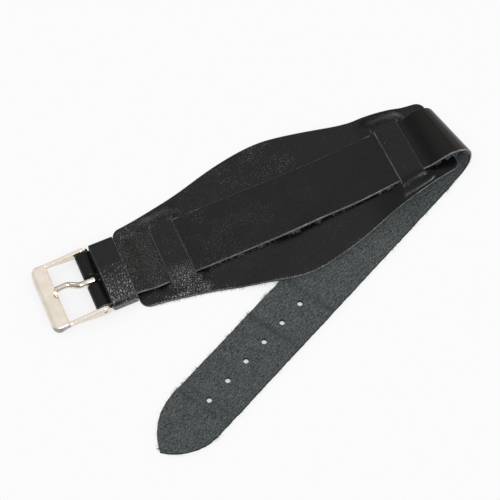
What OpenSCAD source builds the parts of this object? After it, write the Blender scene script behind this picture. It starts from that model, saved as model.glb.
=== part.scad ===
// One-piece leather watch strap threaded through a wide leather cuff pad.
// Millimetres. X runs along the strap from the buckle to the fold, Y points to the far side.
// The origin is on the table, under the middle of the pad.

/* [Leather] */
// Width of the strap
strap_w = 18; // [14:1:22]
// Thickness of the strap leather
strap_t = 1.4; // [1.1:0.1:1.8]
// Thickness of the cuff pad leather
pad_t = 1.0; // [0.8:0.1:1.4]
// Thickness of the keeper leather
keeper_t = 1.0; // [0.7:0.1:1.3]
// Room between layers that lie on each other
layer_gap = 0.1; // [0.06:0.02:0.2]

/* [Cuff pad] */
// Length of the pad as it lies
pad_l = 101.6; // [92:0.2:120]
// Leather left beside the strap at the pad's ends
pad_rim = 3.9; // [3:0.1:6]
// Widening of each side along a straight taper to the middle
pad_taper = 4; // [2:0.5:6]
// Extra swell of each side in the middle
pad_bell = 5.7; // [3:0.1:9]
// How far each side is hollowed between the middle and the bands
pad_waist = 0.35; // [0:0.05:1]
// Radius of the pad's corners
pad_corner_r = 2.5; // [1:0.5:3.5]
// Distance from the middle to each inner slit
slit_in = 32.8; // [28:0.1:36]
// Width of the two bands that cross over the strap
band_w = 7.7; // [5:0.1:9]
// Length of each slit past the strap's edge
slit_over = 1.4; // [1.2:0.1:2]
// Width of the cut
slit_gap = 0.3; // [0.2:0.05:0.5]
// Height to which the fold lifts the pad's right end
pad_lift = 7.5; // [4:0.1:8]
// Share by which the near rim is lifted more than the middle, and the far rim less
lift_tilt = 0.34; // [0:0.02:0.5]
// How far the lifted end's rims are drawn in
rim_draw = 0.5; // [0:0.1:1.5]
// Swell of the near rim just left of the middle
near_swell = 0.7; // [0:0.1:1.2]
// Swell of the far rim beside the right band
far_swell = 1.05; // [0:0.05:1.5]
// Where that lift begins
lift_start = 3; // [-5:1:12]

/* [Fold and tail] */
// Radius of the open fold at mid width, to the middle of the leather
fold_r = 5.15; // [5:0.05:6.5]
// Share by which the fold is wider at its near edge and tighter at its far edge
fold_cone = 0.18; // [0:0.01:0.2]
// Distance from the pad's end back to the top of the fold
fold_back = 2.8; // [1:0.1:4]
// Angle between the strap and its tail on the table
tail_angle = 24.6; // [16:0.2:30]
// Length of the tail from the fold to its tip
tail_l = 122.8; // [90:0.2:140]
// Length of the pointed tip
tip_l = 15; // [10:1:18]
// Number of adjusting holes
hole_n = 6; // [3:1:8]
// Diameter of an adjusting hole
hole_d = 1.8; // [1.4:0.1:2.2]
// Distance between holes
hole_pitch = 7.8; // [6:0.1:9]
// Distance from the tip to the first hole
hole_first = 20.4; // [18:0.2:26]

/* [Keeper] */
// Length of the keeper along the strap
keeper_l = 7.5; // [5:0.1:9]
// Room between the keeper and the pad
keeper_play = 0.3; // [0.25:0.05:0.6]
// Room between the keeper and the buckle's lugs
lug_room = 0.4; // [0.35:0.05:1.2]
// Wire of the staple that closes the keeper
staple_d = 0.4; // [0.3:0.05:0.45]
// Length of the staple
staple_w = 5; // [4:0.5:7]
// Thread that holds the turned-back end
thread_d = 0.4; // [0.3:0.05:0.5]
// Distance between the stitch holes
stitch_pitch = 3; // [2.5:0.1:3.2]

/* [Buckle] */
// Distance from the bar to the front plate
window_l = 10.9; // [9:0.1:13]
// Length of the front plate
plate_l = 4.9; // [3.5:0.1:6]
// Thickness of the front plate
plate_t = 1.1; // [0.9:0.1:1.4]
// Radius of the plate's rolled outer edge
plate_roll = 1.7; // [1.4:0.1:2]
// Radius of the plate's corners seen from above
plate_corner_r = 2.6; // [1.5:0.1:3]
// Radius of the plate's rolled ends
end_roll = 1.0; // [0.4:0.1:1.2]
// Thickness of the side arms
arm_t = 1.1; // [0.9:0.1:1.4]
// Height of an arm at the plate
arm_h = 1.7; // [1.6:0.1:2.4]
// Radius of the rounded lug round the bar
lug_r = 2.2; // [1.6:0.1:2.3]
// Room between the strap and each arm
arm_play = 0.2; // [0.15:0.05:0.4]
// Thickness of the tongue's rod
tongue_d = 1.8; // [1.4:0.1:2]
// Sideways lean of the tongue's tip
tongue_lean = 1.0; // [0:0.1:1.2]
// Rise of the tongue's hump above the plate
tongue_hump = 0.4; // [0.2:0.1:1]

/* [Spring bar] */
// Diameter of the bar's tube
bar_d = 1.6; // [1.4:0.1:1.8]
// Diameter of the plunger tips
pin_d = 0.8; // [0.7:0.05:0.9]
// Travel of each plunger
pin_travel = 1.1; // [1.05:0.05:1.4]
// Running clearance on the radius of pins and bores
run_gap = 0.05; // [0.02:0.01:0.08]
// Wire of the spring
spring_wire = 0.2; // [0.15:0.01:0.22]
// Turns of the spring
spring_turns = 14; // [8:1:16]

/* [Hidden] */
leather = [0.09, 0.09, 0.095];
suede = [0.17, 0.2, 0.2];
metal = [0.82, 0.78, 0.72];
eps = 0.01;
hw = strap_w / 2;
pad_h = pad_l / 2;
rim_h = hw + pad_rim;
slit_out = slit_in + band_w;
slit_h = hw + slit_over;
slits = [-slit_out, -slit_in, slit_in, slit_out];
lift_end = pad_h + 6;
// heights of the strap's middle plane over the pad and of the raised bands
over_pad = pad_t + layer_gap + strap_t / 2;
band_up = pad_t + strap_t + 2 * layer_gap;
// length over which a raised lip of a slit sinks back into the pad
lip_fade = 4.5;
// the strap is pressed down under each band and bows up between them
dip_h = 0.3;
bow_h = 0.45;
// length over which the strap comes up onto the pad, past the keeper
step_l = 6.5;
// the pad rises over the tail within this length, which begins this far outside the tail's edge
over_tail_l = 8;
over_tail_from = 9;
// places and lengths of the rim's hollow and swells, as shares of the pad's half length
waist_at = [0.55, 0.16];
near_swell_at = [-0.08, 0.18];
far_swell_l = 9;
// the keeper stands between the pad's end and the lugs
keeper_right = -pad_h - keeper_play;
keeper_left = keeper_right - keeper_l;
bar_x = keeper_left - lug_room - lug_r;
bar_z = keeper_t + 1.5 * layer_gap + strap_t;
layer_z = (strap_t + layer_gap) / 2;
loop_r = bar_d / 2 + run_gap + strap_t / 2;
loop_run = 2.4;
turn_end = keeper_right - 0.8;
// the fold is a roll whose axis is turned by half of the tail's angle
fold_a = tail_angle / 2;
fold_x = pad_h - fold_back;
fold_n = [cos(fold_a), sin(fold_a)];
fold_u = [-sin(fold_a), cos(fold_a)];
fold_in = 30;
rise_x = slit_out + 1.4;
tail_from = [fold_x, 0] - fold_r * PI * tan(fold_a) * fold_u;
tail_e = -[cos(tail_angle), sin(tail_angle)];
tail_m = [-sin(tail_angle), cos(tail_angle)];
// buckle and bar
arm_in = hw + arm_play;
arm_out = arm_in + arm_t;
plate_top = bar_z + lug_r - 0.8;
// the arms' top lies a step below the plate's
arm_top = plate_top - 0.3;
plate_x = bar_x - window_l;
eye_r = bar_d / 2 + run_gap + 1.0;
slot_w = tongue_d + 0.8;
slot_end = eye_r + 0.45 - slot_w / 2;
tube_h = hw - 0.2;
tube_lip = 0.5;
pin_head_d = bar_d - 0.56;
pin_head_l = 1;
pin_end = arm_in + pin_travel - 0.15;

function smooth(t) = let(c = min(1, max(0, t))) c * c * (3 - 2 * c);
function mix(a, b, t) = a + (b - a) * t;
function unit(v) = v / norm(v);

// Half width of the pad at a place along it, without its corners
function pad_side(x) = let(t = min(1, abs(x) / pad_h))
    rim_h + pad_taper * (1 - sqrt(t * t + 0.01)) + pad_bell * (1 + cos(180 * t)) / 2
        - pad_waist * hill((t - waist_at[0]) / waist_at[1]);
function hill(t) = exp(-t * t);
// Share of the draw-in along the lifted end
function drawn(x) = x < lift_start ? 0 : max(0, sin(180 * (x - lift_start) / (pad_h - lift_start)));
function swell(x, side) = side < 0 ? near_swell * hill((x / pad_h - near_swell_at[0]) / near_swell_at[1])
    : far_swell * hill((x - slit_in - band_w / 2) / far_swell_l);
// Half width of the pad with its rounded corners, on the near (-1) or the far (1) side
function pad_half(x, side) = let(d = max(0, abs(x) - pad_h + pad_corner_r))
    pad_side(x) - pad_corner_r + sqrt(max(0, pad_corner_r * pad_corner_r - d * d))
        + swell(x, side) - rim_draw * drawn(x);

// Rise of the pad where the tail lies under it
function over_tail(x, y) = let(d = hw - (x - tail_from[0]) * tail_m[0] - (y - tail_from[1]) * tail_m[1])
    (strap_t + 2 * layer_gap) * smooth((d + over_tail_from) / over_tail_l);
function lift(x) = pad_lift * smooth((x - lift_start) / (lift_end - lift_start));
function base(x, y) = let(a = lift(x) * (1 - lift_tilt * y / rim_h), b = over_tail(x, y))
    pow(a * a * a + b * b * b, 1 / 3);
// Length that the pad loses along X by its rise
function shrink(x) = let(t = min(1, max(0, (x - lift_start) / (lift_end - lift_start))))
    18 * pad_lift * pad_lift / (lift_end - lift_start) * pow(t, 3) * (1 / 3 - t / 2 + t * t / 5);
function placed(x) = x - shrink(x);

// Height of the pad's underside; banded is 1 on the bands that cross over the strap
function pad_low(x, y, banded) = let(
        ay = abs(y),
        side = 1 - smooth((ay - hw - 0.15) / (pad_half(x, y) - 0.4 - hw - 0.15)),
        near_slit = min([for (s = slits) abs(x - s)]),
        shoulder = smooth((ay - hw - 0.1) / (slit_over - 0.1)) * (1 - smooth(near_slit / lip_fade)))
    base(x, y) + band_up * side * (banded == 1 ? 1 : shoulder);

// A closed sheet between a grid of upper and a grid of lower points
module sheet(top, bottom, closed_cell) {
    n = len(top);
    m = len(top[0]);
    points = concat([for (row = top) each row], [for (row = bottom) each row]);
    function a(i, j) = i * m + j;
    function b(i, j) = n * m + i * m + j;
    function cell(i, j) = i >= 0 && j >= 0 && i < n - 1 && j < m - 1 && closed_cell[i][j];
    faces = [for (i = [0 : n - 2], j = [0 : m - 2]) if (cell(i, j)) each concat(
        [[a(i, j), a(i, j + 1), a(i + 1, j + 1)], [a(i, j), a(i + 1, j + 1), a(i + 1, j)]],
        [[b(i, j), b(i + 1, j + 1), b(i, j + 1)], [b(i, j), b(i + 1, j), b(i + 1, j + 1)]],
        cell(i - 1, j) ? [] : [[a(i, j), b(i, j + 1), a(i, j + 1)], [a(i, j), b(i, j), b(i, j + 1)]],
        cell(i + 1, j) ? [] : [[a(i + 1, j), a(i + 1, j + 1), b(i + 1, j + 1)],
            [a(i + 1, j), b(i + 1, j + 1), b(i + 1, j)]],
        cell(i, j - 1) ? [] : [[a(i, j), a(i + 1, j), b(i + 1, j)], [a(i, j), b(i + 1, j), b(i, j)]],
        cell(i, j + 1) ? [] : [[a(i, j + 1), b(i + 1, j + 1), a(i + 1, j + 1)],
            [a(i, j + 1), b(i, j + 1), b(i + 1, j + 1)]])];
    polyhedron(points, faces);
}

// Columns of the pad: place along it and whether the column lies on a band
function band_columns(lo, hi) = concat([[lo - slit_gap / 2, 0]],
    [for (t = [0 : 3]) [mix(lo + slit_gap / 2, hi - slit_gap / 2, t / 3), 1]], [[hi + slit_gap / 2, 0]]);
corner_turn = [for (a = [0, 25, 50, 72, 90]) pad_corner_r * sin(a)];
fade = [1.2, 2.6, 4.6];
pad_columns = concat(
    [for (k = [4 : -1 : 0]) [-pad_h + pad_corner_r - corner_turn[k], 0]],
    [for (k = [1 : -1 : 0]) [-slit_out - fade[k], 0]],
    band_columns(-slit_out, -slit_in),
    [for (f = fade) [-slit_in + f, 0]],
    [for (k = [1 : 13]) [mix(-slit_in + fade[2], slit_in - fade[2], k / 14), 0]],
    [for (k = [2 : -1 : 0]) [slit_in - fade[k], 0]],
    band_columns(slit_in, slit_out),
    [for (k = [0 : 1]) [slit_out + fade[k], 0]],
    [for (k = [0 : 4]) [pad_h - pad_corner_r + corner_turn[k], 0]]);
inner_rows = [0.5 * hw, hw + 0.1, hw + 0.45 * slit_over, hw + 0.75 * slit_over, slit_h];
outer_rows = 3;
function pad_row(x, k, side) = let(w = pad_half(x, side), squeeze = min(1, w / (slit_h + 0.8)))
    k <= 5 ? (k == 0 ? 0 : inner_rows[k - 1] * squeeze)
        : mix(slit_h * squeeze, w, (k - 5) / outer_rows);
row_count = 5 + outer_rows;

module cuff_pad() {
    grid = [for (c = pad_columns) [for (k = [-row_count : row_count])
        let(side = k < 0 ? -1 : 1, y = side * pad_row(c[0], abs(k), side))
            [placed(c[0]), y, pad_low(c[0], y, c[1])]]];
    upper = [for (i = [0 : len(grid) - 1]) [for (j = [0 : len(grid[0]) - 1]) let(
            p = grid[i][j],
            q = grid[i][max(0, j - 1)],
            r = grid[i][min(len(grid[0]) - 1, j + 1)],
            slope = (r[2] - q[2]) / (r[1] - q[1]))
        p + [0, 0, pad_t * min(1.35, sqrt(1 + slope * slope))]]];
    open = [for (i = [0 : len(grid) - 2]) [for (j = [0 : len(grid[0]) - 2])
        !(pad_columns[i][1] != pad_columns[i + 1][1]
            && j >= outer_rows && j < len(grid[0]) - 1 - outer_rows)]];
    color(leather) sheet(upper, grid, open);
}

// Middle plane of the strap over and under the pad
function dip(x) = dip_h * max([for (c = [-1, 1]) let(d = abs(x - c * (slit_in + band_w / 2)) / (band_w / 2))
    d < 1 ? (1 + cos(180 * d)) / 2 : 0]);
function bridge_rise(x) = abs(x) < slit_in ? bow_h * pow(cos(90 * x / slit_in), 2) : 0;
function run_z(x, y) = base(x, y) + over_pad - dip(x) + bridge_rise(x);

function turned_point(x, v) = [x, v * hw, bar_z - layer_z];
function loop_point(a, v) = [bar_x - loop_r * cos(a), v * hw, bar_z + loop_r * sin(a)];
function neck_point(t, v, side) =
    [bar_x + loop_run * t, v * hw, bar_z + side * mix(loop_r, layer_z, smooth(t))];
function flat_point(x, v) =
    [placed(x), v * hw, mix(bar_z + layer_z, run_z(x, v * hw), smooth((x - keeper_right - 0.4) / step_l))];
// A cross line of the strap on the roll, at an angle from its top
function roll_point(a, v) = let(
        r = fold_r * (1 - fold_cone * v),
        b = (v * hw - fold_r * a * PI / 180 * sin(fold_a)) / cos(fold_a),
        p = [fold_x, 0] + (fold_r - r + r * sin(a)) * fold_n + b * fold_u)
    [p[0], p[1], strap_t / 2 + r + r * cos(a)];
function rise_point(t, v) = let(
        p = [placed(rise_x), v * hw, run_z(rise_x, v * hw)],
        q = roll_point(-fold_in, v),
        run = norm([q[0] - p[0], q[1] - p[1]]),
        m0 = (p[2] - run_z(rise_x - 0.5, v * hw)) / 0.5 * run,
        m1 = tan(fold_in) * run,
        z = (2 * t * t * t - 3 * t * t + 1) * p[2] + (t * t * t - 2 * t * t + t) * m0
            + (3 * t * t - 2 * t * t * t) * q[2] + (t * t * t - t * t) * m1)
    [mix(p[0], q[0], t), mix(p[1], q[1], t), z];
// The tail lies flat; its tip is a pointed arch of two arcs
tip_r = (tip_l * tip_l + hw * hw) / (2 * hw);
function tail_half(s) = let(d = max(0, s - tail_l + tip_l))
    max(0.2, hw - tip_r + sqrt(max(0, tip_r * tip_r - d * d)));
function tail_point(s, v) = let(p = tail_from + s * tail_e + v * tail_half(s) * tail_m)
    [p[0], p[1], strap_t / 2];
tail_fan = 6;
function fan_point(t, v) = mix(roll_point(180, v), tail_point(tail_fan, v), t);

across = [-1, -0.5, 0, 0.5, 1];
function steps(lo, hi, n) = [for (k = [0 : n]) mix(lo, hi, k / n)];
strap_rows = concat(
    [for (x = steps(turn_end, bar_x + loop_run + 0.1, 2)) [for (v = across) turned_point(x, v)]],
    [for (t = [1, 0.75, 0.5, 0.25]) [for (v = across) neck_point(t, v, -1)]],
    [for (a = steps(-90, 90, 12)) [for (v = across) loop_point(a, v)]],
    [for (t = [0.25, 0.5, 0.75, 1]) [for (v = across) neck_point(t, v, 1)]],
    [for (x = steps(keeper_left, keeper_right + 0.4, 2)) [for (v = across) flat_point(x, v)]],
    [for (x = steps(keeper_right + 1.3, -slit_out - 1, 7)) [for (v = across) flat_point(x, v)]],
    [for (x = steps(-slit_out + 0.3, -slit_in - 0.3, 5)) [for (v = across) flat_point(x, v)]],
    [for (x = steps(-slit_in + 1, slit_in - 1, 22)) [for (v = across) flat_point(x, v)]],
    [for (x = steps(slit_in + 0.3, slit_out - 0.3, 5)) [for (v = across) flat_point(x, v)]],
    [for (t = steps(0, 0.9, 5)) [for (v = across) rise_point(t, v)]],
    [for (a = steps(-fold_in, 180, 18)) [for (v = across) roll_point(a, v)]],
    [for (t = steps(0.4, 1, 2)) [for (v = across) fan_point(t, v)]],
    [for (s = steps(tail_fan + 6, tail_l - tip_l, 10)) [for (v = across) tail_point(s, v)]],
    [for (a = [15, 30, 42, 54, 65, 74, 82, 90]) [for (v = across) tail_point(tail_l - tip_l + tip_l * sin(a), v)]]);

function normal_at(g, i, j) = let(
        n = len(g) - 1,
        m = len(g[0]) - 1,
        along = g[min(n, i + 1)][j] - g[max(0, i - 1)][j],
        wide = g[i][min(m, j + 1)] - g[i][max(0, j - 1)])
    unit(cross(along, wide));
function shifted(g, d) = [for (i = [0 : len(g) - 1]) [for (j = [0 : len(g[0]) - 1])
    g[i][j] + d * normal_at(g, i, j)]];

stitch_x = keeper_right - 3.2;
stitch_n = 4;
stitch_sink = thread_d + 0.06;
function stitch_y(k) = (k - (stitch_n - 1) / 2) * stitch_pitch;

module strap() {
    full = [for (i = [0 : len(strap_rows) - 2]) [for (j = [0 : len(across) - 2]) true]];
    color(suede) difference() {
        sheet(shifted(strap_rows, strap_t / 2), shifted(strap_rows, -strap_t / 2), full);
        for (k = [0 : hole_n - 1]) let(p = tail_from + (tail_l - hole_first - k * hole_pitch) * tail_e)
            translate([p[0], p[1], -1]) cylinder(h = strap_t + 2, d = hole_d, $fn = 32);
        // slot that lets the tongue swing
        translate([bar_x - 4, -slot_w / 2, bar_z - 4]) cube([4 + slot_end, slot_w, 8]);
        translate([bar_x + slot_end, 0, bar_z - 4]) cylinder(h = 8, d = slot_w, $fn = 32);
        // holes and grooves of the stitches
        for (k = [0 : stitch_n - 1]) translate([stitch_x, stitch_y(k), bar_z - 3])
            cylinder(h = 6, d = thread_d + 0.12, $fn = 24);
        for (side = [-1, 1]) translate([stitch_x, 0, bar_z + side * (layer_z + strap_t / 2)])
            cube([stitch_sink + 0.06, (stitch_n - 1) * stitch_pitch + stitch_sink, 2 * stitch_sink],
                center = true);
    }
}

// A straight rod between two points
module rod(p, q, d, fn) {
    v = q - p;
    translate(p) rotate([0, acos(v[2] / norm(v)), atan2(v[1], v[0])]) cylinder(h = norm(v), d = d, $fn = fn);
}
// A bent wire through a list of points; its knuckles are a hair thicker than the wire
knuckle = 1.04;
module wire(path, d, fn) {
    for (k = [0 : len(path) - 2]) rod(path[k], path[k + 1], d, fn);
    for (k = [1 : len(path) - 2]) translate(path[k]) sphere(d = d * knuckle, $fn = fn);
}

// Thread of the running stitch through both layers
module turned_end_thread() {
    z = layer_z + strap_t / 2 - thread_d / 2 - 0.03;
    path = [for (k = [0 : stitch_n - 1]) each let(side = k % 2 == 0 ? -1 : 1)
        [[stitch_x, stitch_y(k), bar_z + side * z], [stitch_x, stitch_y(k), bar_z - side * z]]];
    color("black") wire(path, thread_d, 16);
}

// Keeper: a closed band round both layers, butted and stapled underneath
keeper_in = hw + 0.4;
keeper_low = 0;
seam = 0.2;
keeper_top = keeper_t * 2 + 2 * strap_t + 3 * layer_gap;
module round_bar(w, lo, hi, r) {
    translate([-w + r, lo]) square([2 * (w - r), hi - lo]);
    translate([-w, lo + r]) square([2 * w, hi - lo - 2 * r]);
    for (s = [-1, 1], z = [lo + r, hi - r]) translate([s * (w - r), z]) circle(r = r, $fn = 32);
}
staple_z = [staple_d / 2 + 0.03, keeper_t - staple_d / 2 - 0.03];
module keeper_loop() {
    color(leather) difference() {
        translate([keeper_left, 0, 0]) rotate([90, 0, 90]) linear_extrude(keeper_l) difference() {
            round_bar(keeper_in + keeper_t, keeper_low, keeper_top, 1.35);
            round_bar(keeper_in, keeper_t, keeper_top - keeper_t, 0.35);
        }
        // butted ends
        translate([keeper_left - 1, -seam / 2, -1]) cube([keeper_l + 2, seam, 1 + keeper_t + eps]);
        // seats of the staple's crown, legs and clinched ends
        translate([(keeper_left + keeper_right) / 2, 0, 0]) {
            translate([-staple_d / 2 - 0.04, -staple_w / 2 - 0.04, -1])
                cube([staple_d + 0.08, staple_w + 0.08, 1 + staple_d + 0.05]);
            for (s = [-1, 1]) {
                translate([0, s * (staple_w - staple_d) / 2, -1]) cylinder(h = 3, d = staple_d + 0.08, $fn = 24);
                translate([-staple_d / 2 - 0.04, s > 0 ? staple_w / 2 - 1.5 : -staple_w / 2 - 0.04,
                    keeper_t - staple_d - 0.05]) cube([staple_d + 0.08, 1.54, 1]);
            }
        }
    }
}
module keeper_staple() {
    x = (keeper_left + keeper_right) / 2;
    y = (staple_w - staple_d) / 2;
    color(metal) wire([[x, y - 1, staple_z[1]], [x, y, staple_z[1]], [x, y, staple_z[0]],
        [x, -y, staple_z[0]], [x, -y, staple_z[1]], [x, 1 - y, staple_z[1]]], staple_d, 16);
}

// Buckle frame: two lugged arms and a plate whose outer edge and ends are rolled down
module frame_side() {
    difference() {
        rotate([90, 0, 0]) linear_extrude(arm_t, center = true) {
            translate([bar_x, bar_z]) circle(r = lug_r, $fn = 64);
            polygon([[bar_x, bar_z + lug_r], [plate_x - 1, arm_top], [plate_x - 1, arm_top - arm_h],
                [plate_x + 1.5, arm_top - arm_h], [bar_x, bar_z - lug_r]]);
        }
        translate([bar_x, -arm_t, bar_z]) rotate([-90, 0, 0])
            cylinder(h = 2 * arm_t, d = pin_d + 2 * run_gap, $fn = 32);
    }
}
lip_x = plate_x - plate_l;
lip_z = 0.12;
// A rectangle that stands on the line -1, with its two upper corners rounded
module arch(lo, hi, top, r) {
    translate([lo, -1]) square([hi - lo, top - r + 1]);
    translate([lo + r, -1]) square([hi - lo - 2 * r, top + 1]);
    for (x = [lo + r, hi - r]) translate([x, top - r]) circle(r = r, $fn = 64);
}
// The plate seen from above, drawn in by an inset, as far as a place along the strap
module plate_outline(inset, end) {
    c = [lip_x + plate_corner_r, arm_out - plate_corner_r];
    w = arm_out - inset;
    translate([lip_x + inset, -c[1]]) square([end - lip_x - inset, 2 * c[1]]);
    translate([c[0], -w]) square([end - c[0], 2 * w]);
    for (s = [-1, 1]) translate([c[0], s * c[1]]) circle(r = plate_corner_r - inset, $fn = 64);
}
module plate() {
    difference() {
        intersection() {
            rotate([90, 0, 0]) linear_extrude(2 * arm_out + 2, center = true)
                arch(lip_x, plate_x + 5, plate_top, plate_roll);
            translate([lip_x - 1, 0, 0]) rotate([90, 0, 90]) linear_extrude(plate_l + 2)
                arch(-arm_out, arm_out, plate_top, end_roll);
            translate([0, 0, lip_z]) linear_extrude(plate_top) plate_outline(0, plate_x);
        }
        translate([0, 0, -1]) linear_extrude(plate_top - plate_t + 1) plate_outline(plate_t, plate_x + 1);
        // the skirt rises from the outer edge to the arms
        rotate([90, 0, 0]) linear_extrude(2 * arm_out + 2, center = true)
            polygon([[lip_x + plate_t, -1], [lip_x + plate_t, lip_z + 0.2], [plate_x - 1, arm_top - arm_h],
                [plate_x + 1, arm_top - arm_h], [plate_x + 1, -1]]);
    }
}
module buckle_frame() {
    color(metal) difference() {
        union() {
            for (s = [-1, 1]) translate([0, s * (arm_in + arm_t / 2), 0]) frame_side();
            plate();
        }
        // cup in which the tongue's tip rests
        translate([plate_x - 0.2, -0.2, plate_top + 1.3]) sphere(r = 1.7, $fn = 48);
    }
}

// Tongue: an eye round the bar and a bent rod that ends on the plate
tip_z = plate_top + tongue_d * knuckle / 2 + 0.04;
eye_top = bar_z + eye_r - tongue_d / 2;
reach = window_l + 0.1;
// Shares of the reach, of the sideways lean and heights of the rod's bends
tongue_path = [for (p = [[0.04, 0, eye_top], [0.37, 0.08, eye_top], [0.66, 0.8, tip_z + tongue_hump],
        [0.78, 0.92, tip_z + tongue_hump], [1, 1, tip_z]])
    [bar_x - p[0] * reach, tongue_lean * p[1], p[2]]];
module buckle_tongue() {
    color(metal) difference() {
        union() {
            translate([bar_x, 0, bar_z]) rotate([90, 0, 0]) cylinder(h = tongue_d, r = eye_r, center = true, $fn = 64);
            wire(tongue_path, tongue_d, 32);
            translate(tongue_path[4]) sphere(d = tongue_d * knuckle, $fn = 32);
        }
        translate([bar_x, 0, bar_z]) rotate([90, 0, 0])
            cylinder(h = 3 * tongue_d, d = bar_d + 2 * run_gap, center = true, $fn = 48);
    }
}

// Spring bar
module along_y(y0, y1, d) {
    translate([bar_x, y0, bar_z]) rotate([-90, 0, 0]) cylinder(h = y1 - y0, d = d, $fn = 48);
}
module bar_tube() {
    color(metal) difference() {
        along_y(-tube_h, tube_h, bar_d);
        along_y(-tube_h + tube_lip, tube_h - tube_lip, pin_head_d + 2 * run_gap);
        along_y(-tube_h - 1, tube_h + 1, pin_d + 2 * run_gap);
    }
}
module bar_pin(side) {
    inner = tube_h - tube_lip - run_gap;
    color(metal) mirror([0, side < 0 ? 1 : 0, 0]) {
        along_y(inner - pin_head_l, inner, pin_head_d);
        along_y(inner - eps, pin_end, pin_d);
    }
}
module bar_pin_near() { bar_pin(-1); }
module bar_pin_far() { bar_pin(1); }
module bar_spring() {
    reach = tube_h - tube_lip - run_gap - pin_head_l - spring_wire / 2 - 0.05;
    coil_r = pin_head_d / 2 - spring_wire / 2;
    rings = 8;
    sides = 6;
    last = spring_turns * rings;
    function place(k) = let(a = 360 * k / rings)
        [bar_x + coil_r * cos(a), mix(-reach, reach, k / last), bar_z + coil_r * sin(a)];
    function spin(k, j) = let(a = 360 * k / rings, b = 360 * j / sides, r = spring_wire / 2)
        place(k) + r * [cos(b) * cos(a), sin(b), cos(b) * sin(a)];
    points = [for (k = [0 : last], j = [0 : sides - 1]) spin(k, j)];
    faces = concat(
        [for (k = [0 : last - 1], j = [0 : sides - 1]) let(n = (j + 1) % sides)
            each [[k * sides + j, (k + 1) * sides + n, k * sides + n],
                [k * sides + j, (k + 1) * sides + j, (k + 1) * sides + n]]],
        [[for (j = [0 : sides - 1]) j]],
        [[for (j = [sides - 1 : -1 : 0]) last * sides + j]]);
    color("silver") polyhedron(points, faces);
}

cuff_pad();
strap();
turned_end_thread();
keeper_loop();
keeper_staple();
buckle_frame();
buckle_tongue();
bar_tube();
bar_pin_near();
bar_pin_far();
bar_spring();
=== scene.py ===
import math

import bmesh
import bpy
import numpy as np
from mathutils import Matrix, Vector, noise


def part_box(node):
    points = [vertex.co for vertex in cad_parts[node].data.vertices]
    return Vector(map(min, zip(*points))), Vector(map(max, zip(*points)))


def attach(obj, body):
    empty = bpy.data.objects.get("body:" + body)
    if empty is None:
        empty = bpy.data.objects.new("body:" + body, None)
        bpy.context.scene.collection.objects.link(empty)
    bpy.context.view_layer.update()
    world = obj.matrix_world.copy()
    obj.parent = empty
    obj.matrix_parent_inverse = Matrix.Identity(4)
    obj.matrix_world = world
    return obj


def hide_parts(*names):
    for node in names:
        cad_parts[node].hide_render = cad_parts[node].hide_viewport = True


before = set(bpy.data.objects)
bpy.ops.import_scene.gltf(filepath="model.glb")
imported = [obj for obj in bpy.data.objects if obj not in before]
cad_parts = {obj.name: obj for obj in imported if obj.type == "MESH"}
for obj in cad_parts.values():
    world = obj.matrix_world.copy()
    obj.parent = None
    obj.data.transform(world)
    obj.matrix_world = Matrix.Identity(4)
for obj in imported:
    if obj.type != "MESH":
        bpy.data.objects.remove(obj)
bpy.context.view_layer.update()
mm = 0.001
noise.seed_set(3)  # vector noise takes its seed from the clock otherwise


# Small helpers
def smooth(t):
    c = np.clip(t, 0.0, 1.0)
    return c * c * (3 - 2 * c)


def mix(a, b, t):
    return a + (b - a) * t


def hill(t):
    return np.exp(-np.square(t))


def boxOf(node):
    lo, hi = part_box(node)
    return np.array(lo) / mm, np.array(hi) / mm


def inScene(name, data):
    made = bpy.data.objects.new(name, data)
    bpy.context.scene.collection.objects.link(made)
    return made


def rolledOff(d, r):
    # how far a face has sunk at a distance d from a rounded edge of radius r
    t = 1 - np.clip(d / r, 0.0, 1.0)
    return r * (1 - np.sqrt(np.maximum(0.0, 1 - t * t)))


def roughly(u, v, scale, seed, octaves=3):
    # fractal noise over two arrays of millimetres, about -1 to 1
    flat = [noise.fractal(Vector((a * scale, b * scale, seed)), 0.7, 2.1, octaves)
            for a, b in zip(np.ravel(u), np.ravel(v))]
    return np.array(flat).reshape(np.shape(u))


def pebbled(u, v, size, seed):
    # crumpled leather: 0 in a fold, rising over a pebble of the given size
    flat = []
    for a, b in zip(np.ravel(u), np.ravel(v)):
        place = Vector((a / size, b / size, seed))
        bent = place + 0.35 * noise.noise_vector(place * 1.3)
        near = noise.voronoi(Vector((bent.x, bent.y, seed)))[0]
        flat.append(near[1] - near[0])
    return np.array(flat).reshape(np.shape(u))


# Camera: fitted to the photo with the strap's width of 18 mm
camera = {
    "elevation": 67.6,
    "turn": 23.76,
    "distance": 511.46,
    "lens": 125.57,
    "target": (-15.17, -8.31, 0.0),
}


def makeCamera():
    e = math.radians(camera["elevation"])
    t = math.radians(camera["turn"])
    back = Vector((-math.sin(t) * math.cos(e), -math.cos(t) * math.cos(e), math.sin(e)))
    target = Vector(camera["target"]) * mm
    cam = inScene("camera", bpy.data.cameras.new("camera"))
    cam.data.lens = camera["lens"]
    cam.data.sensor_width = 36
    cam.data.clip_start = 0.01
    cam.location = target + back * camera["distance"] * mm
    cam.rotation_euler = (target - cam.location).to_track_quat("-Z", "Y").to_euler()
    bpy.context.scene.camera = cam


makeCamera()
print("camera done")


# Node materials
def linear(hexText):
    values = [int(hexText[i:i + 2], 16) / 255 for i in (1, 3, 5)]
    return tuple(v / 12.92 if v <= 0.04045 else ((v + 0.055) / 1.055) ** 2.4 for v in values) + (1.0,)


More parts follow.
